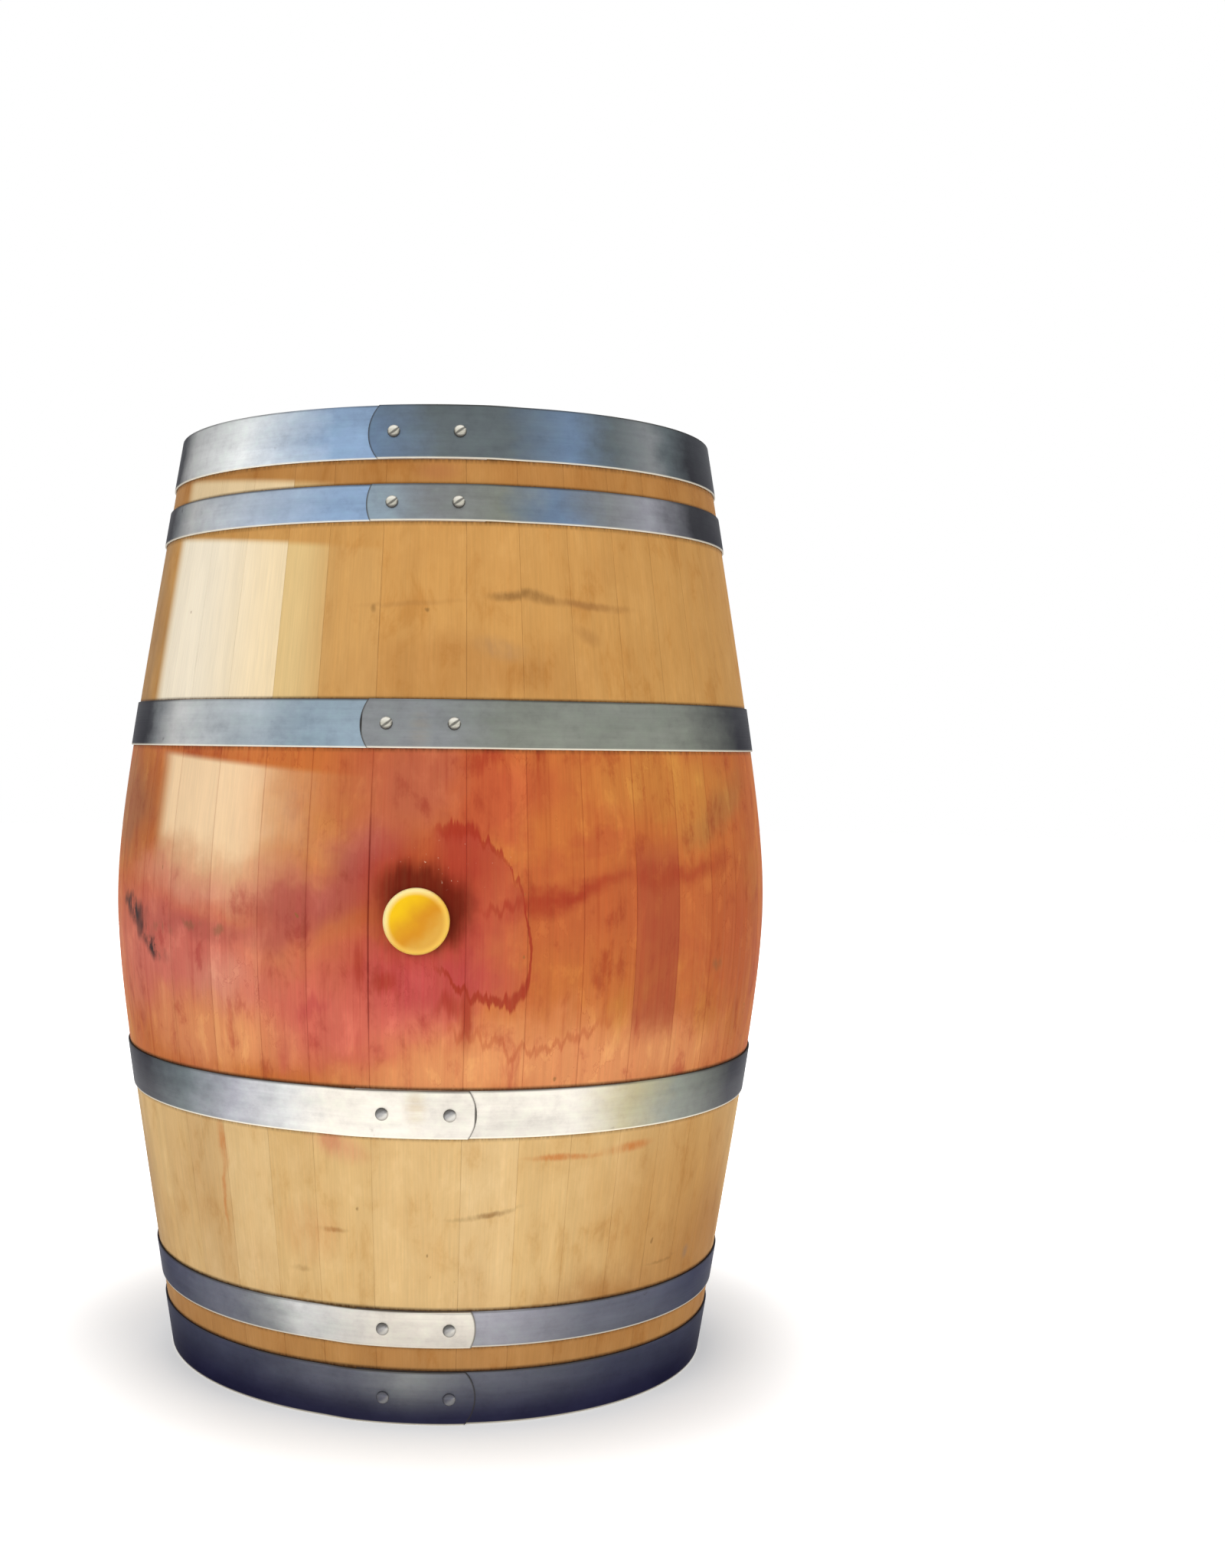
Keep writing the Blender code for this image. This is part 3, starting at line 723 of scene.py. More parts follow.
def painted_with_wine(wood, colour):
    """Wine between the bilge hoops, thinner where a patch of sunlight is painted at the left, below the
    painted shadow of the upper bilge hoop.
    """
    low_edge, high_edge = sum(hoop_span["lower_bilge"]) / 2, sum(hoop_span["upper_bilge"]) / 2
    wood.painted = wood.z.math("GREATER_THAN", low_edge) * wood.z.math("LESS_THAN", high_edge)
    around, up = wood.cloudy
    # Painted sunlight on the stain at the left, cut off by the painted shadow of the upper bilge hoop
    sunny = around.ramp(-0.030, -0.215) * wood.round_way.ramp(-0.320, -0.285)
    sun_share = sunny * up.ramp(0.490, 0.550) * unshaded(wood, "upper_bilge") * (0.85 + wood.pale * 0.15)
    sun_wood = blend(sun_share * wood.painted, colour, WINE_CREAM)
    stain = spilt_wine(wood, soaked_wine(wood))
    wine = wood.painted * (0.97 - sun_share * 0.85) * (0.94 + wood.fibres * 0.10)
    return lay([BELT_STAIN], wood.rubbed, blend(wine, sun_wood, stain))


print("wine: a tide line", round(TIDE_SIZE[1] * 2000), "mm tall beside the bung")

# %% [markdown]
# Last come dirt and wear. Wine and dirt sit in the joints, most of all beside the bung stave. Dark lines
# along the hoops are dirt and painted shadow. The bung hole is soaked, the ends show end grain, and the
# inside is nearly black, because wine barrels are toasted over a fire.

# %% Dirt, painted shadow along the hoops, scuffs and mould
BUNG_HEIGHT = HEIGHT / 2
BUNG_HOLE_RADIUS = 0.026
HOLE_EDGE = 1.02
SEEP_PLACE = ((0.000, 0.480), (0.070, 0.175))
WINE_IN_JOINT, DIRT_IN_JOINT = (0.0014, 0.0003), (0.0008, 0.0001)
SHADOW_AND_DIRT_ABOVE_HOOP, SHADOW_AND_DIRT_BELOW_HOOP, UNDER_HOOP = 0.0036, 0.0050, 0.004
SOAKED_DEPTH, TOASTED_DEPTH = (0.0, 0.001), (0.020, 0.024)
END_GRAIN_FROM, END_GRAIN_FULL = HEIGHT / 2 - 0.0016, HEIGHT / 2 - 0.0002


def joints(wood, colour):
    in_joint = wood.edge.ramp(*WINE_IN_JOINT) * wood.fibres.ramp(0.20, 0.55)
    seep = wood.painted * mark(wood.cloudy, *SEEP_PLACE, inner=0.6)
    colour = blend(in_joint * wood.painted * 0.12, colour, WINE_RED)
    colour = blend(in_joint * seep * wood.round_way.ramp(0.06, -0.06) * 0.60, colour, WINE_MAROON)
    dirt = wood.edge.ramp(*DIRT_IN_JOINT) * wood.cloud.ramp(0.40, 0.70)
    return blend(dirt * 0.12, colour, DIRT_AND_PAINTED_SHADE)


def marks_of_use(wood, colour):
    worn = wood.mottle.ramp(0.32, 0.62) * 0.7 + wood.pores * 0.6
    colour = lay(SCUFFS, wood.rubbed, colour, cover=worn)
    colour = lay(MOULD, wood.soaked, colour, cover=wood.mottle.ramp(0.40, 0.52))
    specks = noise(combine(wood.round_way, wood.z * 0.7, 9.0), 85.0, detail=1.0).ramp(0.79, 0.82)
    return blend(specks * 0.6, colour, BROWN_SCUFF)


# Painted shadow, with some dirt, in thin dark lines along the edges of each hoop
def hoop_shadow_and_dirt(wood, colour):
    for low, high in hoop_span.values():
        above = (wood.z - high).ramp(SHADOW_AND_DIRT_ABOVE_HOOP, 0.0) * wood.z.math("GREATER_THAN", high - UNDER_HOOP)
        below = (low - wood.z).ramp(SHADOW_AND_DIRT_BELOW_HOOP, 0.0) * wood.z.math("LESS_THAN", low + UNDER_HOOP)
        colour = blend(above * (0.55 + wood.fibres * 0.6), colour, DIRT_AND_PAINTED_SHADE)
        colour = blend(below * wood.fibres.ramp(0.15, 0.70) * 0.65, colour, DIRT_AND_PAINTED_SHADE)
    return colour


def hole_ends_and_inside(wood, colour):
    hole = reach(wood.flat, (0.0, BUNG_HEIGHT), (BUNG_HOLE_RADIUS, BUNG_HOLE_RADIUS))
    in_hole = hole.math("LESS_THAN", HOLE_EDGE) * wood.depth.ramp(*SOAKED_DEPTH)
    colour = blend(in_hole, colour, WINE_MAROON)
    at_end = abs(wood.z - HEIGHT / 2).ramp(END_GRAIN_FROM, END_GRAIN_FULL)
    colour = blend(at_end * 0.8, colour, END_GRAIN)
    return blend(wood.depth.ramp(*TOASTED_DEPTH), colour, TOASTED_OAK)


print("dirt up to", SHADOW_AND_DIRT_BELOW_HOOP * 1000, "mm below each hoop")


# %% The oak material of the staves
def stave_oak():
    material, tree, shader = new_material("wine_stained_oak", {"Specular IOR Level": 0.06})
    wood = wood_maps(tree)
    colour = painted_with_wine(wood, bare_oak(wood))
    for layer in (joints, marks_of_use, hoop_shadow_and_dirt, hole_ends_and_inside):
        colour = layer(wood, colour)
    pores, fibres, rings = wood.pores, wood.fibres, wood.rings
    shade = 0.815 + pores * 0.16 + fibres * 0.12 + rings * 0.05 + wood.mottle * 0.04 + wood.tone * 0.03
    connect(blend(1.0, colour, shade, "MULTIPLY"), shader, "Base Color")
    connect(0.52 + fibres * 0.22, shader, "Roughness")
    bump(tree, shader, pores * 0.3 + fibres * 0.5 + rings * 0.2, 0.0004, 0.08)
    return material


wine_stained_oak = stave_oak()
print("oak of the staves:", len(wine_stained_oak.node_tree.nodes), "nodes")

# %% [markdown]
# ## Staves
#
# A stave is a board that is bent in its length, hollowed across, and bevelled so that its neighbours close
# against it. All staves have the same section through the barrel's axis: the curved outside, the chime bevel
# at each end, and the croze, the groove that holds the head. So the section is drawn once, and a tree sweeps
# it round the axis through each stave's own angle. The sweep has its rows closer together near the joints,
# where the long edges are rounded off a little. The solids have a small gap at each joint; a real barrel
# holds wine, so here the staves are widened until they all but touch.

# %% The section of a stave
CHIME_BEVEL_WIDTH, CHIME_BEVEL_HEIGHT = 0.012, 0.016
CROZE_FROM_END, CROZE_WIDTH, CROZE_DEPTH = 0.040, 0.006, 0.0055
END_ROUND = 0.0012
OUTER_STATIONS, INNER_STATIONS = 61, 31


def stations(low, high, count):
    """Heights from low to high, closer together where the staves bend."""
    start = math.asinh((low - HEIGHT / 2) / BILGE_BEND)
    step = (math.asinh((high - HEIGHT / 2) / BILGE_BEND) - start) / (count - 1)
    return [HEIGHT / 2 + BILGE_BEND * math.sinh(start + step * i) for i in range(count)]


def stave_end():
    """Rounded edge, bevel and croze of one end, as (depth into the wood, height above the end)."""
    low, high = CROZE_FROM_END - CROZE_WIDTH / 2, CROZE_FROM_END + CROZE_WIDTH / 2
    wall = STAVE_THICKNESS
    return [
        (END_ROUND * 0.3, END_ROUND * 0.3),
        (END_ROUND, 0.0),
        (wall - CHIME_BEVEL_WIDTH, 0.0),
        (wall, CHIME_BEVEL_HEIGHT),
        (wall, low),
        (wall - CROZE_DEPTH, low),
        (wall - CROZE_DEPTH, high),
        (wall, high),
    ]


def stave_section():
    inside_from = CROZE_FROM_END + CROZE_WIDTH / 2
    outside = [(0.0, z) for z in stations(END_ROUND, HEIGHT - END_ROUND, OUTER_STATIONS)]
    inside = stations(inside_from, HEIGHT - inside_from, INNER_STATIONS)[1:-1]
    upper = [(depth, HEIGHT - z) for depth, z in stave_end()]
    loop = outside + upper + [(STAVE_THICKNESS, z) for z in reversed(inside)] + stave_end()[::-1]
    return [(outer_radius(z) - depth, z) for depth, z in loop]


section = outline("stave_section", stave_section())
print("stave section:", len(stave_section()), "points")


# %% The stave tree
SKIN = 0.0005


def stave_tree():
    tree, given = geometry_tree(
        "stave", Section="Object", Start="Float", Turn="Float", Rounding="Float",
        Rows="Int", Seed="Int", Tone="Float", Pale="Float", Soak="Float", Oak="Material",
    )
    near_joints = 0.5 - (share_of_path(tree) * math.pi).math("COSINE") * 0.5
    swept, radius, height, share = sweep(given["Section"], straight(given["Rows"]), near_joints)
    depth = outer_radius(height) - radius
    edge = share.least(1.0 - share) * given["Turn"] * radius
    near = (1.0 - edge / given["Rounding"]).most(0.0)
    drop = given["Rounding"] * (1.0 - (1.0 - near * near).math("SQRT"))
    worn = radius - drop * depth.math("LESS_THAN", SKIN)
    shaped = put_round(swept, worn, given["Start"] + given["Turn"] * share, height)
    shaped = store(
        shaped, across=(share - 0.5) * given["Turn"] * BILGE_RADIUS, edge=edge, depth=depth,
        tone=given["Tone"], pale=given["Pale"], soak=given["Soak"], seed=given["Seed"] * 1.0,
    )
    close_tree(shaped, given["Oak"])
    return tree


staves_grow = stave_tree()
print("stave tree:", len(staves_grow.nodes), "nodes")

# %% Grow the staves
EDGE_ROUNDING = 0.00015
JOINT_CLOSING = 0.00025 / BILGE_RADIUS
STAVE_COUNT, STAVE_ROWS = 31, 22
SOAKED_STAVE = "stave_04"
BACK_TONES, TONE_STEP = 0.7, 2.4
# How much painted sunlight each stave at the left gets
SUN_STAVES = {
    "stave_25": 1.0, "stave_26": 1.0, "stave_27": 1.0, "stave_28": 0.95, "stave_29": 0.42, "stave_30": 0.20,
}
FRONT_TONES = {
    "bung_stave": 0.3, "stave_01": 0.5, "stave_02": -0.1, "stave_03": -0.1, "stave_04": -0.3, "stave_05": 0.4,
    "stave_06": -0.2, "stave_30": -0.1, "stave_29": -0.1, "stave_28": 0.5, "stave_27": -0.6, "stave_26": -0.4,
}


def mixed_tone(number):
    """A tone from -1 to 1 that differs from board to board."""
    return math.sin(number * TONE_STEP)


def azimuth_span(node):
    """Where a stave starts and how far it turns, read from its solid."""
    points = [vert.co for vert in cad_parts[node].data.vertices]
    middle = azimuth(sum(points, Vector()))
    off = [(azimuth(p) - middle + math.pi) % math.tau - math.pi for p in points]
    return middle + min(off), max(off) - min(off)


stave_nodes = ["bung_stave"] + [f"stave_{number:02d}" for number in range(1, STAVE_COUNT)]
staves = {}
for number, node in enumerate(stave_nodes):
    start, turn = azimuth_span(node)
    start, turn = start - JOINT_CLOSING / 2, turn + JOINT_CLOSING
    staves[node] = grow(
        f"{node}_oak", staves_grow, Section=section, Start=start, Turn=turn, Rounding=EDGE_ROUNDING,
        Rows=STAVE_ROWS, Seed=number, Tone=FRONT_TONES.get(node, BACK_TONES * mixed_tone(number)),
        Pale=SUN_STAVES.get(node, 0.0), Soak=float(node == SOAKED_STAVE), Oak=wine_stained_oak,
    )
bpy.data.objects.remove(section)
print("staves:", len(staves), "of", len(staves["stave_01"].data.polygons), "faces each")

# %% [markdown]
# ## Turned pieces
#
# The bung and the rivets are round, so one small tree turns any outline about its own Z axis. It sweeps the
# outline along a circle, puts every point where its radius and height say, and welds the points on the axis.
# The bung's tree and the rivets' tree both use it as a node group.

# %% A tree that turns an outline
WELD = 1e-6


def turned_tree():
    tree, given = geometry_tree("turned", Outline="Object", Facets="Int")
    circle = add(tree, "GeometryNodeCurvePrimitiveCircle", {"Resolution": given["Facets"]})
    swept, radius, height, share = sweep(given["Outline"], circle, share_of_path(tree), caps=False)
    turn = share * math.tau
    placed = put(swept, radius * turn.math("COSINE"), radius * turn.math("SINE"), height)
    placed = store(placed, radius=radius, height=height)
    close_tree(add(tree, "GeometryNodeMergeByDistance", {"Geometry": placed, "Distance": WELD}))
    return tree


turned = turned_tree()


def turned_piece(tree, drawn, facets):
    return add(tree, "GeometryNodeGroup", {"Outline": drawn, "Facets": facets}, node_tree=turned)


def arc(centre, radius, first, last, steps):
    """Points on an arc, its angles in degrees from the first axis towards the second."""
    angles = [math.radians(first + (last - first) * i / steps) for i in range(steps + 1)]
    return [(centre[0] + radius * math.cos(a), centre[1] + radius * math.sin(a)) for a in angles]


print("turned pieces:", len(turned.nodes), "nodes")

# %% [markdown]
# ## The bung and its hole
#
# The bung is soft yellow silicone. Subsurface scattering lets a little light through it. Its colour carries
# painted light as well: brighter yellow at the upper left, amber in the middle, paler at the lower right, and
# a paler rim as a painted highlight. It has a cap with a rounded edge, which is crowned a little, and a
# tapered plug that fits the hole. The hole is a cone cut through the bung stave.

# %% Silicone
BUNG_CAP_RADIUS, BUNG_CAP_HEIGHT = 0.030, 0.009
BUNG_PLUG_LENGTH = 0.034
BUNG_HOLE_TAPER = 0.075
SILICONE_YELLOW = (0.900, 0.560, 0.004)
SILICONE_AMBER = (0.690, 0.290, 0.010)
SILICONE_LOW = (0.740, 0.400, 0.060)
SILICONE_RIM = (0.960, 0.820, 0.420)
SILICONE_LOW_RIM = (0.900, 0.580, 0.100)
PALE_RIM_FROM, PALE_RIM_TO = 0.0225, 0.0285
STAINED_FROM, STAINED_TO = -BILGE_RADIUS - 0.002, -BILGE_RADIUS + 0.001


def bung_silicone():
    material, tree, shader = new_material("yellow_silicone", {
        "Specular IOR Level": 0.25,
        "Subsurface Weight": 0.35,
        "Subsurface Radius": (1.0, 0.6, 0.1),
        "Subsurface Scale": 0.006,
    })
    x, y, z = split(add(tree, "ShaderNodeTexCoord", out="Object"))
    flat = combine(x, z - BUNG_HEIGHT)
    cloud = noise(flat, 45.0, detail=3.0)
    # Painted light: brighter towards the upper left, amber in the middle, paler at the lower right, and a
    # paler rim as a painted highlight
    slope = x * -0.7 + (z - BUNG_HEIGHT) * 0.7 + (cloud - 0.5) * 0.020
    lit = slope.ramp(-0.006, 0.022)
    colour = blend(lit, SILICONE_AMBER, SILICONE_YELLOW)
    colour = blend(slope.ramp(-0.004, -0.020), colour, SILICONE_LOW)
    rim = blend(lit, SILICONE_LOW_RIM, SILICONE_RIM)
    colour = blend(value_of(tree, "radius").ramp(PALE_RIM_FROM, PALE_RIM_TO) * 0.85, colour, rim)
    colour = blend(y.ramp(STAINED_FROM, STAINED_TO) * 0.8, colour, WINE_CRIMSON)
    connect(colour, shader, "Base Color")
    connect(0.30 + cloud * 0.2, shader, "Roughness")
    bump(tree, shader, noise(flat, 900.0), 0.0002, 0.3)
    return material


yellow_silicone = bung_silicone()
print("silicone:", len(yellow_silicone.node_tree.nodes), "nodes")

# %% Grow the bung and cut its hole
BUNG_SEAT = 0.0003
BUNG_CAP_ROUND = 0.003
BUNG_CROWN = 0.0008
PLUG_ROUND = 0.0015
CAP_STEPS, PLUG_STEPS = 8, 5
BUNG_FACETS = 128
PAST_WOOD = 0.010


def hole_radius(depth):
    return BUNG_HOLE_RADIUS - BUNG_HOLE_TAPER * depth


def bung_outline():
    top = BUNG_SEAT + BUNG_CAP_HEIGHT
    flat = BUNG_CAP_RADIUS - BUNG_CAP_ROUND
    steps = [i / CAP_STEPS for i in range(CAP_STEPS)]
    crown = [(flat * step, top + BUNG_CROWN * (1.0 - step ** 2)) for step in steps]
    plug = hole_radius(BUNG_PLUG_LENGTH) - BUNG_SEAT
    return [
        *crown,
        *arc((flat, top - BUNG_CAP_ROUND), BUNG_CAP_ROUND, 90.0, 0.0, CAP_STEPS),
        *arc((flat, BUNG_SEAT + BUNG_CAP_ROUND), BUNG_CAP_ROUND, 0.0, -90.0, CAP_STEPS),
        (hole_radius(0.0) - BUNG_SEAT, BUNG_SEAT),
        *arc((plug - PLUG_ROUND, PLUG_ROUND - BUNG_PLUG_LENGTH), PLUG_ROUND, 0.0, -90.0, PLUG_STEPS),
        (0.0, -BUNG_PLUG_LENGTH),
    ]


def bung_tree():
    tree, given = geometry_tree("bung", Outline="Object", Facets="Int", Silicone="Material")
    feeds = {
        "Geometry": turned_piece(tree, given["Outline"], given["Facets"]),
        "Translation": (0.0, -BILGE_RADIUS, BUNG_HEIGHT),
        "Rotation": (math.radians(90.0), 0.0, 0.0),
    }
    close_tree(add(tree, "GeometryNodeTransform", feeds), given["Silicone"])
    return tree


def bore(stave):
    """Cuts the tapered bung hole through a stave."""
    bm = bmesh.new()
    bmesh.ops.create_cone(
        bm, cap_ends=True, segments=BUNG_FACETS, depth=STAVE_THICKNESS + 2 * PAST_WOOD,
        radius1=hole_radius(STAVE_THICKNESS + PAST_WOOD), radius2=hole_radius(-PAST_WOOD),
        matrix=Matrix.Translation((0.0, STAVE_THICKNESS / 2 - BILGE_RADIUS, BUNG_HEIGHT))
        @ Matrix.Rotation(math.radians(90.0), 4, "X"),
    )
    drill = new_object("drill", bpy.data.meshes.new("drill"))
    bm.to_mesh(drill.data)
    cut = stave.modifiers.new("bung hole", "BOOLEAN")
    cut.object = drill
    plain_mesh(stave)
    bpy.data.objects.remove(drill)


drawn_bung = outline("bung_outline", bung_outline(), closed=False)
bung = grow("bung_plug", bung_tree(), Outline=drawn_bung, Facets=BUNG_FACETS, Silicone=yellow_silicone)
bpy.data.objects.remove(drawn_bung)
bore(staves["bung_stave"])
print("bung:", len(bung.data.polygons), "faces; bored stave:", len(staves["bung_stave"].data.polygons))

# %% [markdown]
# ## Heads
#
# Each end is closed by a head: five boards, jointed edge to edge and turned to a disc with a thin rim that
# sits in the croze. The disc is spun from its profile, cut along the joints, and its seams are chamfered a
# little so that each board shows. A head is dry wood: it has no wine, only a little dirt in its seams and
# near its rim, and each board has its own tone.

# %% The oak of the heads
HEAD_PALE = (0.740, 0.480, 0.205)
HEAD_WARM = (0.600, 0.330, 0.115)
SEAM_DIRT, RIM_DIRT = (0.0018, 0.0003), (0.235, 0.252)


def head_oak():
    material, tree, shader = new_material("dry_head_oak")
    x, y, z = split(add(tree, "ShaderNodeTexCoord", out="Object"))
    tone, seed = value_of(tree, "tone"), value_of(tree, "seed")
    edge = value_of(tree, "half_width") - abs(x - value_of(tree, "middle"))
    pores, fibres, rings = grain(x, y, seed)
    cloud = noise(combine(x, y, seed), 7.0, detail=4.0)
    colour = blend(cloud.ramp(0.35, 0.70), HEAD_PALE, HEAD_WARM)
    colour = blend(edge.ramp(*SEAM_DIRT) * 0.6, colour, DIRT_AND_PAINTED_SHADE)
    near_rim = (x * x + y * y).math("SQRT").ramp(*RIM_DIRT)
    colour = blend(near_rim * cloud.ramp(0.3, 0.7) * 0.6, colour, DIRT_AND_PAINTED_SHADE)
    shade = 0.78 + pores * 0.16 + fibres * 0.26 + rings * 0.10 + tone * 0.10
    connect(blend(1.0, colour, shade, "MULTIPLY"), shader, "Base Color")
    connect(0.50 + fibres * 0.25, shader, "Roughness")
    bump(tree, shader, pores * 0.35 + fibres * 0.5 + rings * 0.15, 0.0006, 0.5)
    return material


dry_oak = head_oak()
print("oak of the heads:", len(dry_oak.node_tree.nodes), "nodes")

# %% Turning a head and cutting a board from it
HEAD_THICKNESS = 0.022
HEAD_OUTER_BEVEL, HEAD_INNER_BEVEL = 0.016, 0.026
HEAD_RIM_SHOULDER = 0.001
HEAD_FACETS = 192
SEAM_CHAMFER = 0.0006
JOINT_GAP = 0.0003
SHARP_SEAM = math.radians(25.0)
LEVEL = 1e-5


def head_profile(rim):
    """(radius, height) of the disc, from the middle of its inner face round to its outer face."""
    shoulder = rim - CROZE_DEPTH - HEAD_RIM_SHOULDER
    half, lip = HEAD_THICKNESS / 2, CROZE_WIDTH / 2 - JOINT_GAP
    return [
        (0.0, half),
        (shoulder - HEAD_INNER_BEVEL, half),
        (shoulder, lip),
        (rim, lip),
        (rim, -lip),
        (shoulder, -lip),
        (shoulder - HEAD_OUTER_BEVEL, -half),
        (0.0, -half),
    ]


def head_board(name, rim, left, right, place, seed):
    bm = bmesh.new()
    line = [bm.verts.new((radius, 0.0, height)) for radius, height in head_profile(rim)]
    edges = [bm.edges.new(pair) for pair in zip(line, line[1:])]
    bmesh.ops.spin(
        bm, geom=line + edges, axis=(0.0, 0.0, 1.0), cent=(0.0, 0.0, 0.0), angle=math.tau, steps=HEAD_FACETS,
    )
    bmesh.ops.remove_doubles(bm, verts=bm.verts[:], dist=WELD)
    for at, side in ((left, -1.0), (right, 1.0)):
        if abs(at) >= rim:
            continue
        geom = bm.verts[:] + bm.edges[:] + bm.faces[:]
        cut = bmesh.ops.bisect_plane(
            bm, geom=geom, plane_co=(at, 0.0, 0.0), plane_no=(side, 0.0, 0.0), clear_outer=True,
        )
        seam = [part for part in cut["geom_cut"] if isinstance(part, bmesh.types.BMEdge)]
        face = bmesh.ops.contextual_create(bm, geom=seam)["faces"]
        long_edges = [edge for edge in face[0].edges if abs(edge.verts[0].co.z - edge.verts[1].co.z) < LEVEL]
        bmesh.ops.bevel(bm, geom=long_edges, offset=SEAM_CHAMFER, segments=1, affect="EDGES")
    bmesh.ops.recalc_face_normals(bm, faces=bm.faces[:])
    bm.transform(place)
    mesh = bpy.data.meshes.new(name)
    bm.to_mesh(mesh)
    mesh.shade_smooth()
    mesh.set_sharp_from_angle(angle=SHARP_SEAM)
    mesh.materials.append(dry_oak)
    middle = (place @ Vector(((left + right) / 2, 0.0, 0.0))).x
    values = {"middle": middle, "half_width": (right - left) / 2, "tone": mixed_tone(seed), "seed": seed}
    for label, number in values.items():
        attribute = mesh.attributes.new(label, "FLOAT", "POINT")
        attribute.data.foreach_set("value", [float(number)] * len(mesh.vertices))
    return new_object(name, mesh)


print("head profile:", len(head_profile(END_RADIUS)), "points")

# %% Make the boards of both heads
BOARD_COUNT = 5
FIRST_HEAD_SEED = 40

head_boards = {}
for end in ENDS:
    nodes = [f"{end}_head_board_{number}" for number in range(1, BOARD_COUNT + 1)]
    rim = max(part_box(node)[1].x for node in nodes)
    place = Matrix.Translation((0.0, 0.0, CROZE_FROM_END))
    if end == "upper":
        place = Matrix.Translation((0.0, 0.0, HEIGHT - CROZE_FROM_END)) @ Matrix.Rotation(math.pi, 4, "Y")
    pitch = 2 * rim / BOARD_COUNT
    for number, node in enumerate(nodes):
        left = -rim + number * pitch + JOINT_GAP / 2
        seed = FIRST_HEAD_SEED + len(head_boards)
        board = head_board(f"{node}_oak", rim, left, left + pitch - JOINT_GAP, place, seed)
        head_boards[node] = board
print("head boards:", len(head_boards), "of about", len(board.data.polygons), "faces")

# %% [markdown]
# ## Galvanised hoops
#
# A hoop is one strip of zinc-coated steel, driven onto the taper of the barrel and riveted to itself. Its
# colour round the barrel is painted reflection, which differs from hoop to hoop: blue, grey or silver at the
# front, nearly black towards the sides, and dark at the foot of the lowest hoop. Over it lie fine brushing
# along the strip, a painted highlight along its lower edge, and small spots of grime.

# %% Tones of painted reflection in the zinc
BLUE = (0.285, 0.405, 0.590)
DENIM = (0.155, 0.228, 0.345)
HAZE = (0.285, 0.365, 0.435)
FOG = (0.860, 0.880, 0.880)
ASH = (0.550, 0.550, 0.545)
LILAC = (0.330, 0.330, 0.370)
PEWTER = (0.240, 0.250, 0.258)
MOSS = (0.228, 0.240, 0.206)
SLATE = (0.130, 0.152, 0.162)
NEAR_BLACK = (0.052, 0.052, 0.058)
SILVER = (0.655, 0.615, 0.550)
STRAW = (0.400, 0.350, 0.215)
DUSK = (0.140, 0.146, 0.180)
NAVY = (0.058, 0.062, 0.098)
SHADOWED_FLOOR_REFLECTION = (0.024, 0.023, 0.058)

# For each hoop: the painted reflection it fades to at the barrel's end, how far it fades, how much rust leaks
# from its lap, and its tones of painted reflection, as degrees along the strip: it runs away from its tip,
# and by
# 350 it is back at the lap
ZINC_REFLECTIONS = {
    "upper_chime": (SLATE, 0.15, 0.0, (
        (0, BLUE), (18, BLUE), (40, FOG), (60, ASH), (68, NEAR_BLACK), (95, NEAR_BLACK), (150, LILAC), (215, PEWTER),
        (298, NEAR_BLACK), (308, SLATE), (314, PEWTER), (322, SLATE), (333, DENIM), (345, SLATE), (358, SLATE),
        (371, DENIM),
    )),
    "upper_quarter": (PEWTER, 0.10, 0.0, (
        (0, BLUE), (16, BLUE), (54, ASH), (61, PEWTER), (66, NEAR_BLACK), (100, NEAR_BLACK), (160, PEWTER), (215, PEWTER),
        (270, NEAR_BLACK), (300, NEAR_BLACK), (315, LILAC), (324, PEWTER), (336, DENIM), (346, MOSS), (358, PEWTER),
        (370, HAZE),
    )),
    "upper_bilge": (PEWTER, 0.10, 0.15, (
        (0, HAZE), (18, HAZE), (49, ASH), (55, PEWTER), (59, NEAR_BLACK), (95, NEAR_BLACK), (150, PEWTER), (220, MOSS),
        (270, NEAR_BLACK), (292, NEAR_BLACK), (312, MOSS), (345, MOSS), (358, PEWTER), (368, PEWTER),
    )),
    "lower_bilge": (ASH, 0.10, 0.40, (
        (0, SILVER), (26, SILVER), (36, STRAW), (46, MOSS), (66, NEAR_BLACK), (110, NEAR_BLACK), (160, ASH), (215, ASH),
        (260, NEAR_BLACK), (302, NEAR_BLACK), (316, SLATE), (328, LILAC), (338, ASH), (346, SILVER), (368, SILVER),
    )),
    "lower_quarter": (PEWTER, 0.10, 0.0, (
        (0, LILAC), (14, LILAC), (32, DUSK), (62, NAVY), (100, NAVY), (160, LILAC), (215, LILAC), (262, NAVY),
        (300, NAVY), (322, DUSK), (332, PEWTER), (341, ASH), (354, SILVER), (370, SILVER),
    )),
    "lower_chime": (SHADOWED_FLOOR_REFLECTION, 0.95, 0.0, (
        (0, DUSK), (14, DUSK), (40, NAVY), (100, NAVY), (170, DUSK), (260, NAVY), (325, NAVY), (348, DUSK),
        (359, PEWTER), (370, DUSK),
    )),
}
print("tones along each strip:", [len(tones) for *_, tones in ZINC_REFLECTIONS.values()])

# %% [markdown]
# Each hoop's painted reflection is a colour ramp along the strip. Noise shifts the place at which the ramp is
# read, so that two tones meet on a cloudy line. Brushing, tarnish, a painted highlight on the lower edge, a
# darker upper edge, spots and rust are laid over it. The strip's tree, below, stores how far along and across
# the strip a point lies.

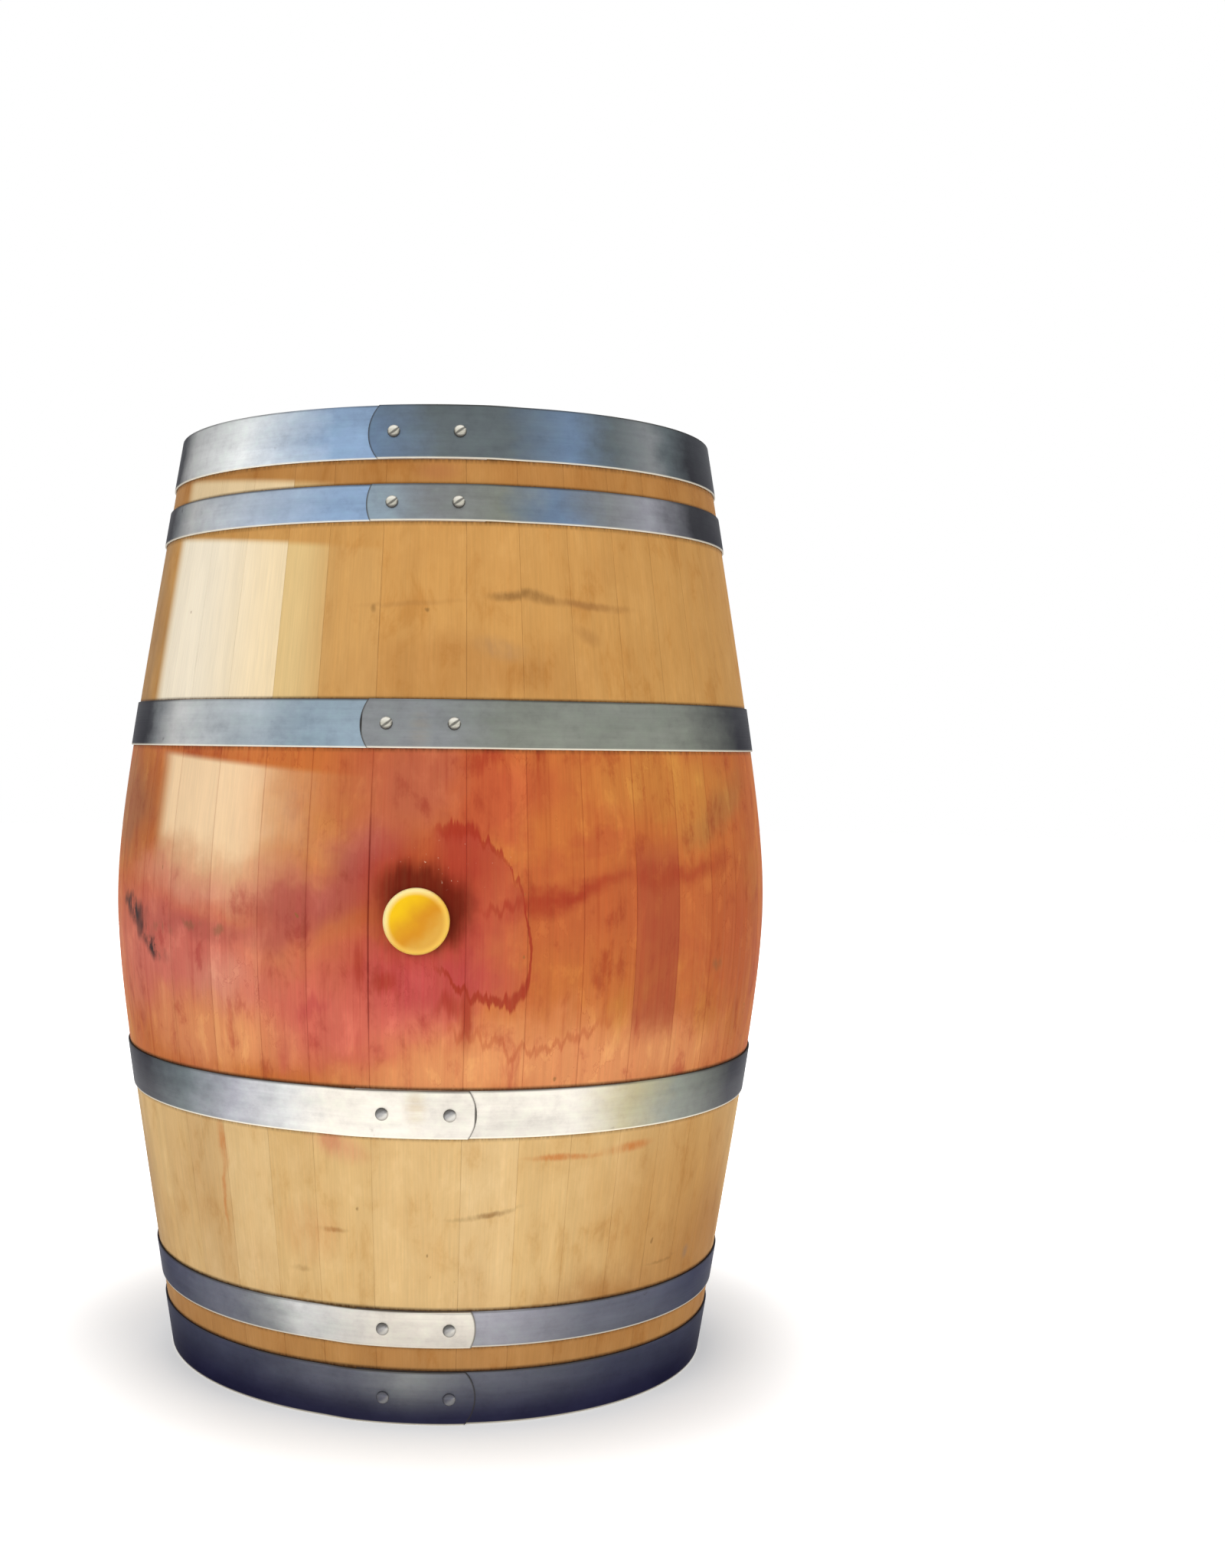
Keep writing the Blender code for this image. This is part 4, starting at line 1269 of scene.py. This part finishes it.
# %% Zinc
BRUSH_ACROSS, BRUSH_ALONG = 1400.0, 5.0
GRIME = (0.050, 0.045, 0.038)
RUST = (0.420, 0.290, 0.110)
EDGE_HIGHLIGHT = (0.860, 0.800, 0.660)
STRIP_SCALE, STRIP_START = 1.10, 0.04
HOOP_SEED_STEP = 3.7
RUST_PLACE = ((1.000, 0.006), (0.007, 0.026))
TARNISH = (0.930, 0.970, 0.930)
ZINC_TINT = (0.45, 0.45, 0.47, 1.0)


def zinc(name, end_colour, fade, leak, tones):
    """Galvanised strip, coloured along its length with painted reflections."""
    material, tree, shader = new_material(f"zinc_{name}", {"Metallic": 1.0, "Specular Tint": ZINC_TINT})
    run, across, edge = value_of(tree, "run"), value_of(tree, "across"), value_of(tree, "edge")
    seed = HOOP_NAMES.index(name) * HOOP_SEED_STEP
    brush = noise(combine(run * BRUSH_ALONG, across * BRUSH_ACROSS, seed), detail=3.0, roughness=0.6)
    streaks = noise(combine(run * 9.0, across * 330.0, seed + 1.0), detail=2.0)
    cloud = noise(combine(run, across * 1.6, seed), 17.0, detail=5.0, roughness=0.62)
    bloom = noise(combine(run, across, seed), 75.0, detail=4.0, roughness=0.70)

    # The ramp's tones and the fade to the end colour are painted reflections
    along = value_of(tree, "turns") + (cloud - 0.5) * 0.030
    ramp = add(tree, "ShaderNodeValToRGB", [along / STRIP_SCALE + STRIP_START], out="Color")
    stops = ramp.socket.node.color_ramp.elements
    while len(stops) < len(tones):
        stops.new(0.5)
    for stop, (degrees, colour) in zip(stops, tones):
        stop.position = degrees / 360.0 / STRIP_SCALE + STRIP_START
        stop.color = (*colour, 1.0)
    colour = blend(across.ramp(0.020, -0.022) * fade, ramp, end_colour)
    smear = noise(combine(run * 7.0, across * 60.0, seed), detail=4.0, roughness=0.65)
    worn_away = 0.12 + brush * 0.12 + cloud * 0.66 + streaks * 0.14 + smear * 0.34 + bloom * 0.50
    colour = blend(1.0, colour, worn_away, "MULTIPLY")
    colour = blend(bloom.ramp(0.45, 0.65) * 0.7, colour, TARNISH, "MULTIPLY")

    # Painted highlight along the lower edge and a darker line along the upper one, whichever way up the strip
    # is
    up = across * (-1.0 if name.startswith("upper") else 1.0)
    worn = edge.ramp(0.0020, 0.0008) * up.math("LESS_THAN", 0.0)
    dark_upper_edge = edge.ramp(0.0026, 0.0004) * up.math("GREATER_THAN", 0.0) * streaks.ramp(0.20, 0.60)
    colour = blend(worn * 0.70, colour, EDGE_HIGHLIGHT)
    colour = blend(dark_upper_edge * 0.75, colour, GRIME)
    tip = value_of(tree, "from_tip").ramp(0.0022, 0.0004)
    colour = blend(tip * 0.75, colour, GRIME)
    spots = noise(combine(run, across, seed + 7.0), 36.0, detail=5.0, roughness=0.6)
    colour = blend(spots.ramp(0.68, 0.78) * 0.45, colour, GRIME)
    rust = mark((value_of(tree, "turns"), across), *RUST_PLACE, inner=0.1)
    colour = blend(rust * streaks.ramp(0.25, 0.65) * leak, colour, RUST)
    connect(colour, shader, "Base Color")
    connect(0.30 + brush * 0.16 + cloud * 0.14, shader, "Roughness")
    bump(tree, shader, brush * 0.5 + cloud * 0.5, 0.0004, 0.35)
    return material


zinc_coats = {name: zinc(name, *ZINC_REFLECTIONS[name]) for name in HOOP_NAMES}
print("zinc coats:", len(zinc_coats))

# %% [markdown]
# The strip starts under its own end, runs once round the barrel and climbs onto itself, where its tip is cut
# to a round. In the tree, the strip's flat section is swept along a line, and each point is then put where
# the rule of the barrel says: so far round, so far up, and so far off the wood. The upper hoops are made in
# the same way and turned over, as when a cooper drives them from the other end.

# %% The hoop tree
HOOP_THICKNESS = 0.0018
HOOP_GAP = 0.0002
HOOP_CORNER = 0.0005
HOOP_ROWS = 300
LAP_LENGTH = 0.110
LAP_CLIMB = 0.040
TIP_RADIUS = 0.040
TIP_EASE = 0.030
WIDTH_STEPS = 14
INNER_CORNER_STEPS, OUTER_CORNER_STEPS = 2, 3


def strip_section(width):
    """(across, off the wood) round the strip, its corners rounded, with points all along its width."""
    half, top = width / 2 - HOOP_CORNER, HOOP_THICKNESS - HOOP_CORNER
    steps = [half * (2 * i / WIDTH_STEPS - 1) for i in range(1, WIDTH_STEPS)]
    return [
        *arc((half, HOOP_CORNER), HOOP_CORNER, -90.0, 0.0, INNER_CORNER_STEPS),
        *arc((half, top), HOOP_CORNER, 0.0, 90.0, OUTER_CORNER_STEPS),
        *[(across, HOOP_THICKNESS) for across in reversed(steps)],
        *arc((-half, top), HOOP_CORNER, 90.0, 180.0, OUTER_CORNER_STEPS),
        *arc((-half, HOOP_CORNER), HOOP_CORNER, 180.0, 270.0, INNER_CORNER_STEPS),
        *[(across, 0.0) for across in steps],
    ]


def hoop_tree():
    tree, given = geometry_tree(
        "hoop", Section="Object", Rows="Int", Middle="Float", Width="Float", Lean="Float", Zinc="Material",
    )
    path = straight(given["Rows"])
    swept, across, off, share = sweep(given["Section"], path, share_of_path(tree))

    # Along the strip, in metres from the middle of the lap; the tip is drawn back to a round
    around = outer_radius(given["Middle"])
    once = around * math.tau
    run = share * (once + LAP_LENGTH) - LAP_LENGTH / 2
    back = TIP_RADIUS - (TIP_RADIUS * TIP_RADIUS - across * across).math("SQRT")
    from_tip = (1.0 - share) * (once + LAP_LENGTH)
    run = run - back * from_tip.ramp(TIP_EASE, 0.0)

    # Off the wood: one layer higher where the strip lies on itself
    lap_start = once - LAP_LENGTH / 2
    climb = (run - lap_start + LAP_CLIMB) / LAP_CLIMB
    off = off + HOOP_GAP + climb.ramp(0.0, 1.0) * (HOOP_THICKNESS + HOOP_GAP / 2)
    up = given["Middle"] + across * given["Lean"].math("COSINE")
    radius = outer_radius(up) + off * given["Lean"].math("COSINE")
    height = up - off * given["Lean"].math("SINE")
    shaped = put_round(swept, radius, run / around, height)
    edge = given["Width"] * 0.5 - abs(across)
    shaped = store(shaped, run=run, turns=run / once, across=across, edge=edge, from_tip=from_tip)
    close_tree(shaped, given["Zinc"])
    return tree


hoops_grow = hoop_tree()
print("hoop tree:", len(hoops_grow.nodes), "nodes")


# %% Grow the hoops
def hoop_place(name):
    """Middle height, width along the slope, and lean, all as at the lower end of the barrel."""
    low, high = hoop_span[name]
    if name.startswith("upper"):
        low, high = HEIGHT - high, HEIGHT - low
    lean = math.atan((outer_radius(high) - outer_radius(low)) / (high - low))
    return (low + high) / 2, (high - low) / math.cos(lean), lean


def turn_over(obj):
    """From the lower end to the upper end: half a turn about the bung's level axis, which is no mirror."""
    place = Matrix.Translation((0.0, 0.0, HEIGHT)) @ Matrix.Rotation(math.pi, 4, "Y")
    obj.data.transform(place)


hoops = {}
for name in HOOP_NAMES:
    middle, width, lean = hoop_place(name)
    drawn_strip = outline("strip_section", strip_section(width))
    hoops[name] = grow(
        f"{name}_hoop_strip", hoops_grow, Section=drawn_strip, Rows=HOOP_ROWS,
        Middle=middle, Width=width, Lean=lean, Zinc=zinc_coats[name],
    )
    bpy.data.objects.remove(drawn_strip)
    if name.startswith("upper"):
        turn_over(hoops[name])
    print(name, "hoop:", round(width * 1000, 1), "mm wide, leans", round(math.degrees(lean), 1), "degrees")

# %% [markdown]
# ## Rivets
#
# Two rivets hold each lap. Their heads are low domes of brighter steel, with a painted highlight on top,
# painted shade below and round the rim, and painted reflections. A tree turns one rivet and puts a copy on
# each of two points of the lap, square to the strip.

# %% Rivet steel
RIVET_BRIGHT = (0.520, 0.500, 0.420)
RIVET_GREY = (0.330, 0.325, 0.320)
RIVET_NAVY = (0.075, 0.080, 0.115)
RIVET_SHADE = (0.060, 0.055, 0.048)
RIVET_HIGHLIGHT = (0.950, 0.920, 0.820)
DOME_SHADE_FROM, DOME_SHADE_TO = 0.0038, 0.0058


def rivet_steel():
    material, tree, shader = new_material("polished_rivet_steel", {"Metallic": 0.5})
    place = add(tree, "ShaderNodeTexCoord", out="Object")
    rim, tone = value_of(tree, "radius"), value_of(tree, "tone")
    scratches = noise(place, 700.0, detail=3.0)
    # Painted reflections: navy on the lowest hoop, grey on the lower ones and bright on the upper ones; then
    # painted shade round the rim of each dome
    colour = blend(tone.ramp(0.0, 0.5), RIVET_NAVY, RIVET_GREY)
    colour = blend(tone.ramp(0.5, 1.0), colour, RIVET_BRIGHT)
    shaded_rim = rim.ramp(DOME_SHADE_FROM, DOME_SHADE_TO)
    colour = blend(shaded_rim * (0.25 + tone * 0.60), colour, RIVET_SHADE)
    colour = blend(scratches.ramp(0.60, 0.75) * 0.4, colour, RIVET_SHADE)
    # Painted light on the domes: a highlight on the upper side, painted shade on the lower side and a dark
    # band across the bright ones, and on the duller ones painted shade at the upper left and a painted
    # reflection at the lower right
    faces_right, _, faces_up = split(add(tree, "ShaderNodeNewGeometry", out="Normal"))
    bright, slant = tone.ramp(0.5, 1.0), faces_up * 0.80 - faces_right * 0.58
    colour = blend(faces_up.ramp(0.05, 0.55) * bright * 0.7, colour, RIVET_HIGHLIGHT)
    colour = blend(faces_up.ramp(0.00, -0.50) * bright * 0.85, colour, RIVET_SHADE)
    colour = blend(abs(slant - 0.06).ramp(0.17, 0.05) * bright * 0.80, colour, RIVET_SHADE)
    dull = tone.ramp(1.0, 0.5) * (0.15 + tone * 1.3)
    colour = blend(slant.ramp(0.02, 0.34) * dull * 0.75, colour, RIVET_SHADE)
    colour = blend(slant.ramp(0.02, -0.34) * dull * 0.55, colour, RIVET_HIGHLIGHT)
    connect(colour, shader, "Base Color")
    connect(0.14 + scratches * 0.16, shader, "Roughness")
    bump(tree, shader, scratches, 0.0002, 0.25)
    return material


rivet_with_painted_light = rivet_steel()
print("rivet steel:", len(rivet_with_painted_light.node_tree.nodes), "nodes")

# %% Grow the rivets
RIVETS_IN_LAP, RIVET_SPACING = 2, 0.062
RIVET_HEAD_RADIUS, RIVET_HEAD_HEIGHT = 0.006, 0.0038
RIVET_LIP = 0.0005
RIVET_SHANK_RADIUS, RIVET_TAIL_RADIUS = 0.0025, 0.0040
RIVET_FACETS = 40
DOME_STEPS = 12


def rivet_outline():
    depth = 2 * HOOP_THICKNESS + HOOP_GAP / 2
    dome = [
        (RIVET_HEAD_RADIUS * math.sin(a), RIVET_LIP + (RIVET_HEAD_HEIGHT - RIVET_LIP) * math.cos(a))
        for a in [math.pi / 2 * i / DOME_STEPS for i in range(DOME_STEPS + 1)]
    ]
    return [
        *dome,
        (RIVET_HEAD_RADIUS, 0.0),
        (RIVET_SHANK_RADIUS, 0.0),
        (RIVET_SHANK_RADIUS, -depth / 2),
        (RIVET_TAIL_RADIUS, -depth),
        (0.0, -depth),
    ]


def rivet_tree():
    tree, given = geometry_tree(
        "rivets", Outline="Object", Facets="Int", Spacing="Float", Middle="Float", Lean="Float",
        Tone="Float", Steel="Material",
    )
    one = store(turned_piece(tree, given["Outline"], given["Facets"]), tone=given["Tone"])
    cosine, sine = given["Lean"].math("COSINE"), given["Lean"].math("SINE")
    off = HOOP_GAP * 1.5 + 2 * HOOP_THICKNESS
    radius = outer_radius(given["Middle"]) + cosine * off
    side = add(tree, "GeometryNodeInputIndex") - 0.5
    turn = side * given["Spacing"] / radius
    out_x, out_y = turn.math("SINE"), turn.math("COSINE") * -1.0
    place = combine(radius * out_x, radius * out_y, given["Middle"] - sine * off)
    points = add(tree, "GeometryNodePoints", {"Count": RIVETS_IN_LAP, "Position": place})
    square = add(
        tree, "FunctionNodeAlignRotationToVector",
        {"Vector": combine(cosine * out_x, cosine * out_y, sine * -1.0)}, axis="Z",
    )
    feeds = {"Points": points, "Instance": one, "Rotation": square}
    close_tree(add(tree, "GeometryNodeInstanceOnPoints", feeds), given["Steel"])
    return tree


def rivet_tone(name):
    """Bright at the upper end, duller at the lower end, and dark on the lowest hoop: painted reflections."""
    if name == "lower_chime":
        return 0.1
    return 1.0 if name.startswith("upper") else 0.5


rivets_grow = rivet_tree()
drawn_rivet = outline("rivet_outline", rivet_outline(), closed=False)
rivets = {}
for name in HOOP_NAMES:
    middle, _, lean = hoop_place(name)
    rivets[name] = grow(
        f"{name}_rivet_pair", rivets_grow, Outline=drawn_rivet, Facets=RIVET_FACETS,
        Spacing=RIVET_SPACING, Middle=middle, Lean=lean, Tone=rivet_tone(name), Steel=rivet_with_painted_light,
    )
    if name.startswith("upper"):
        turn_over(rivets[name])
bpy.data.objects.remove(drawn_rivet)
print("rivets:", RIVETS_IN_LAP * len(rivets))

# %% [markdown]
# ## Seat the pieces on the frame
#
# Each fine piece now stands for its solid: it rides on the solid's body and hides it. Only the bung moves;
# everything else rides on the barrel.

# %% Ride on the bodies and hide the solids
def seat(piece, body, slot, *nodes):
    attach(piece, body)
    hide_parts(*nodes)


for node, piece in staves.items():
    seat(piece, "barrel", "stave_oak", node)
for node, piece in head_boards.items():
    seat(piece, "barrel", "head_oak", node)
for name in HOOP_NAMES:
    seat(hoops[name], "barrel", "hoop_steel", f"{name}_hoop")
    seat(rivets[name], "barrel", "rivet_steel", f"{name}_tail_rivet", f"{name}_tip_rivet")
seat(bung, "bung", "bung_silicone", "bung")
pieces = [*staves.values(), *head_boards.values(), *hoops.values(), *rivets.values(), bung]
faces = sum(len(piece.data.loop_triangles) or 2 * len(piece.data.polygons) for piece in pieces)
print("pieces:", len(pieces), "with about", faces, "triangles")

# %% [markdown]
# ## Stage, light and camera
#
# The barrel stands on a plain white floor in a white room. The floor glows, and the world is fully white,
# only to the camera and to reflections; the light on the barrel comes from a soft sky and four large lamps.
# The floor still darkens under the barrel, where its shadow falls.

# %% White floor and world
FLOOR_RADIUS, FLOOR_FACETS = 12.0, 96
FLOOR_WHITE, WHITE = (0.82, 0.82, 0.82, 1.0), (1.0, 1.0, 1.0, 1.0)
FLOOR_LIFT = 0.30
FLOOR_NEAR, FLOOR_FAR = 0.28, 0.60
SKY_LEVEL = 0.24


def seen_directly(tree):
    """1 for rays from the camera and for reflected or transmitted ones, 0 for diffuse light."""
    camera = add(tree, "ShaderNodeLightPath", out="Is Camera Ray")
    return camera.most(camera.other("Is Glossy Ray")).most(camera.other("Is Transmission Ray"))


def white_floor():
    material, tree, shader = new_material("white_floor", {
        "Base Color": FLOOR_WHITE,
        "Roughness": 0.9,
        "Specular IOR Level": 0.0,
        "Emission Color": WHITE,
    })
    x, y, _ = split(add(tree, "ShaderNodeTexCoord", out="Object"))
    away = (x * x + y * y).math("SQRT").ramp(FLOOR_NEAR, FLOOR_FAR)
    connect(seen_directly(tree) * (FLOOR_LIFT + away * (1.0 - FLOOR_LIFT)), shader, "Emission Strength")
    bm = bmesh.new()
    bmesh.ops.create_circle(bm, cap_ends=True, segments=FLOOR_FACETS, radius=FLOOR_RADIUS)
    floor = new_object("floor", bpy.data.meshes.new("floor"))
    bm.to_mesh(floor.data)
    floor.data.materials.append(material)


def white_world():
    world = bpy.data.worlds.new("studio")
    world.use_nodes = True
    tree = world.node_tree
    strength = SKY_LEVEL + seen_directly(tree) * (1.0 - SKY_LEVEL)
    background = tree.nodes["Background"]
    background.inputs["Color"].default_value = WHITE
    tree.links.new(strength.socket, background.inputs["Strength"])
    bpy.context.scene.world = world


white_floor()
white_world()
bpy.context.scene.view_settings.view_transform = "Standard"
print("stage: sky at", SKY_LEVEL)

# %% Lamps
# For each lamp: degrees round from the bung, metres off the axis, metres up, metres across, and watts
LAMPS = {
    "key": (-31.0, 4.2, 1.6, 3.6, 94.0),
    "fill": (52.0, 4.2, 1.2, 3.5, 86.0),
    "back": (195.0, 4.2, 1.4, 3.6, 92.0),
    "top": (0.0, 0.4, 3.8, 2.4, 22.0),
}


def soft_lamp(name, azimuth_degrees, distance, height, size, power):
    """A large round lamp that faces the barrel; it lights the metal without showing in it."""
    lamp = bpy.data.lights.new(name, "AREA")
    lamp.shape = "DISK"
    lamp.size = size
    lamp.energy = power
    obj = new_object(name, lamp)
    turn = math.radians(azimuth_degrees)
    obj.location = (distance * math.sin(turn), -distance * math.cos(turn), height)
    aim = Vector((0.0, 0.0, HEIGHT / 2)) - obj.location
    obj.rotation_euler = aim.to_track_quat("-Z", "Y").to_euler()
    obj.visible_glossy = False


for name, values in LAMPS.items():
    soft_lamp(name, *values)
print("lamps:", ", ".join(LAMPS))

# %% [markdown]
# The camera stands where the photographer stood: two metres off, at two thirds of the barrel's height, a
# little to the right of the bung, held level but for a slight roll. The barrel is left of the picture's
# centre, so the lens is shifted rather than turned, which keeps upright edges upright.

# %% Camera
CAMERA_DISTANCE = 1.961
CAMERA_HEIGHT = 0.6334
CAMERA_AZIMUTH = math.radians(3.493)
CAMERA_ROLL = math.radians(0.663)
LENS_PIXELS = 2355.75
IMAGE_WIDTH, IMAGE_HEIGHT = 1600, 2048
AXIS_PIXEL = (577.5, 972.3)

camera_data = bpy.data.cameras.new("camera")
camera_data.lens = camera_data.sensor_width * LENS_PIXELS / IMAGE_HEIGHT
camera_data.shift_x = (IMAGE_WIDTH / 2 - AXIS_PIXEL[0]) / IMAGE_HEIGHT
camera_data.shift_y = (AXIS_PIXEL[1] - IMAGE_HEIGHT / 2) / IMAGE_HEIGHT
camera = new_object("camera", camera_data)
camera.matrix_world = (
    Matrix.Rotation(CAMERA_AZIMUTH, 4, "Z")
    @ Matrix.Translation((0.0, -CAMERA_DISTANCE, CAMERA_HEIGHT))
    @ Matrix.Rotation(math.radians(90.0), 4, "X")
    @ Matrix.Rotation(CAMERA_ROLL, 4, "Z")
)
bpy.context.scene.camera = camera
print("camera: lens", round(camera_data.lens, 2), "mm, shift", round(camera_data.shift_x, 4))
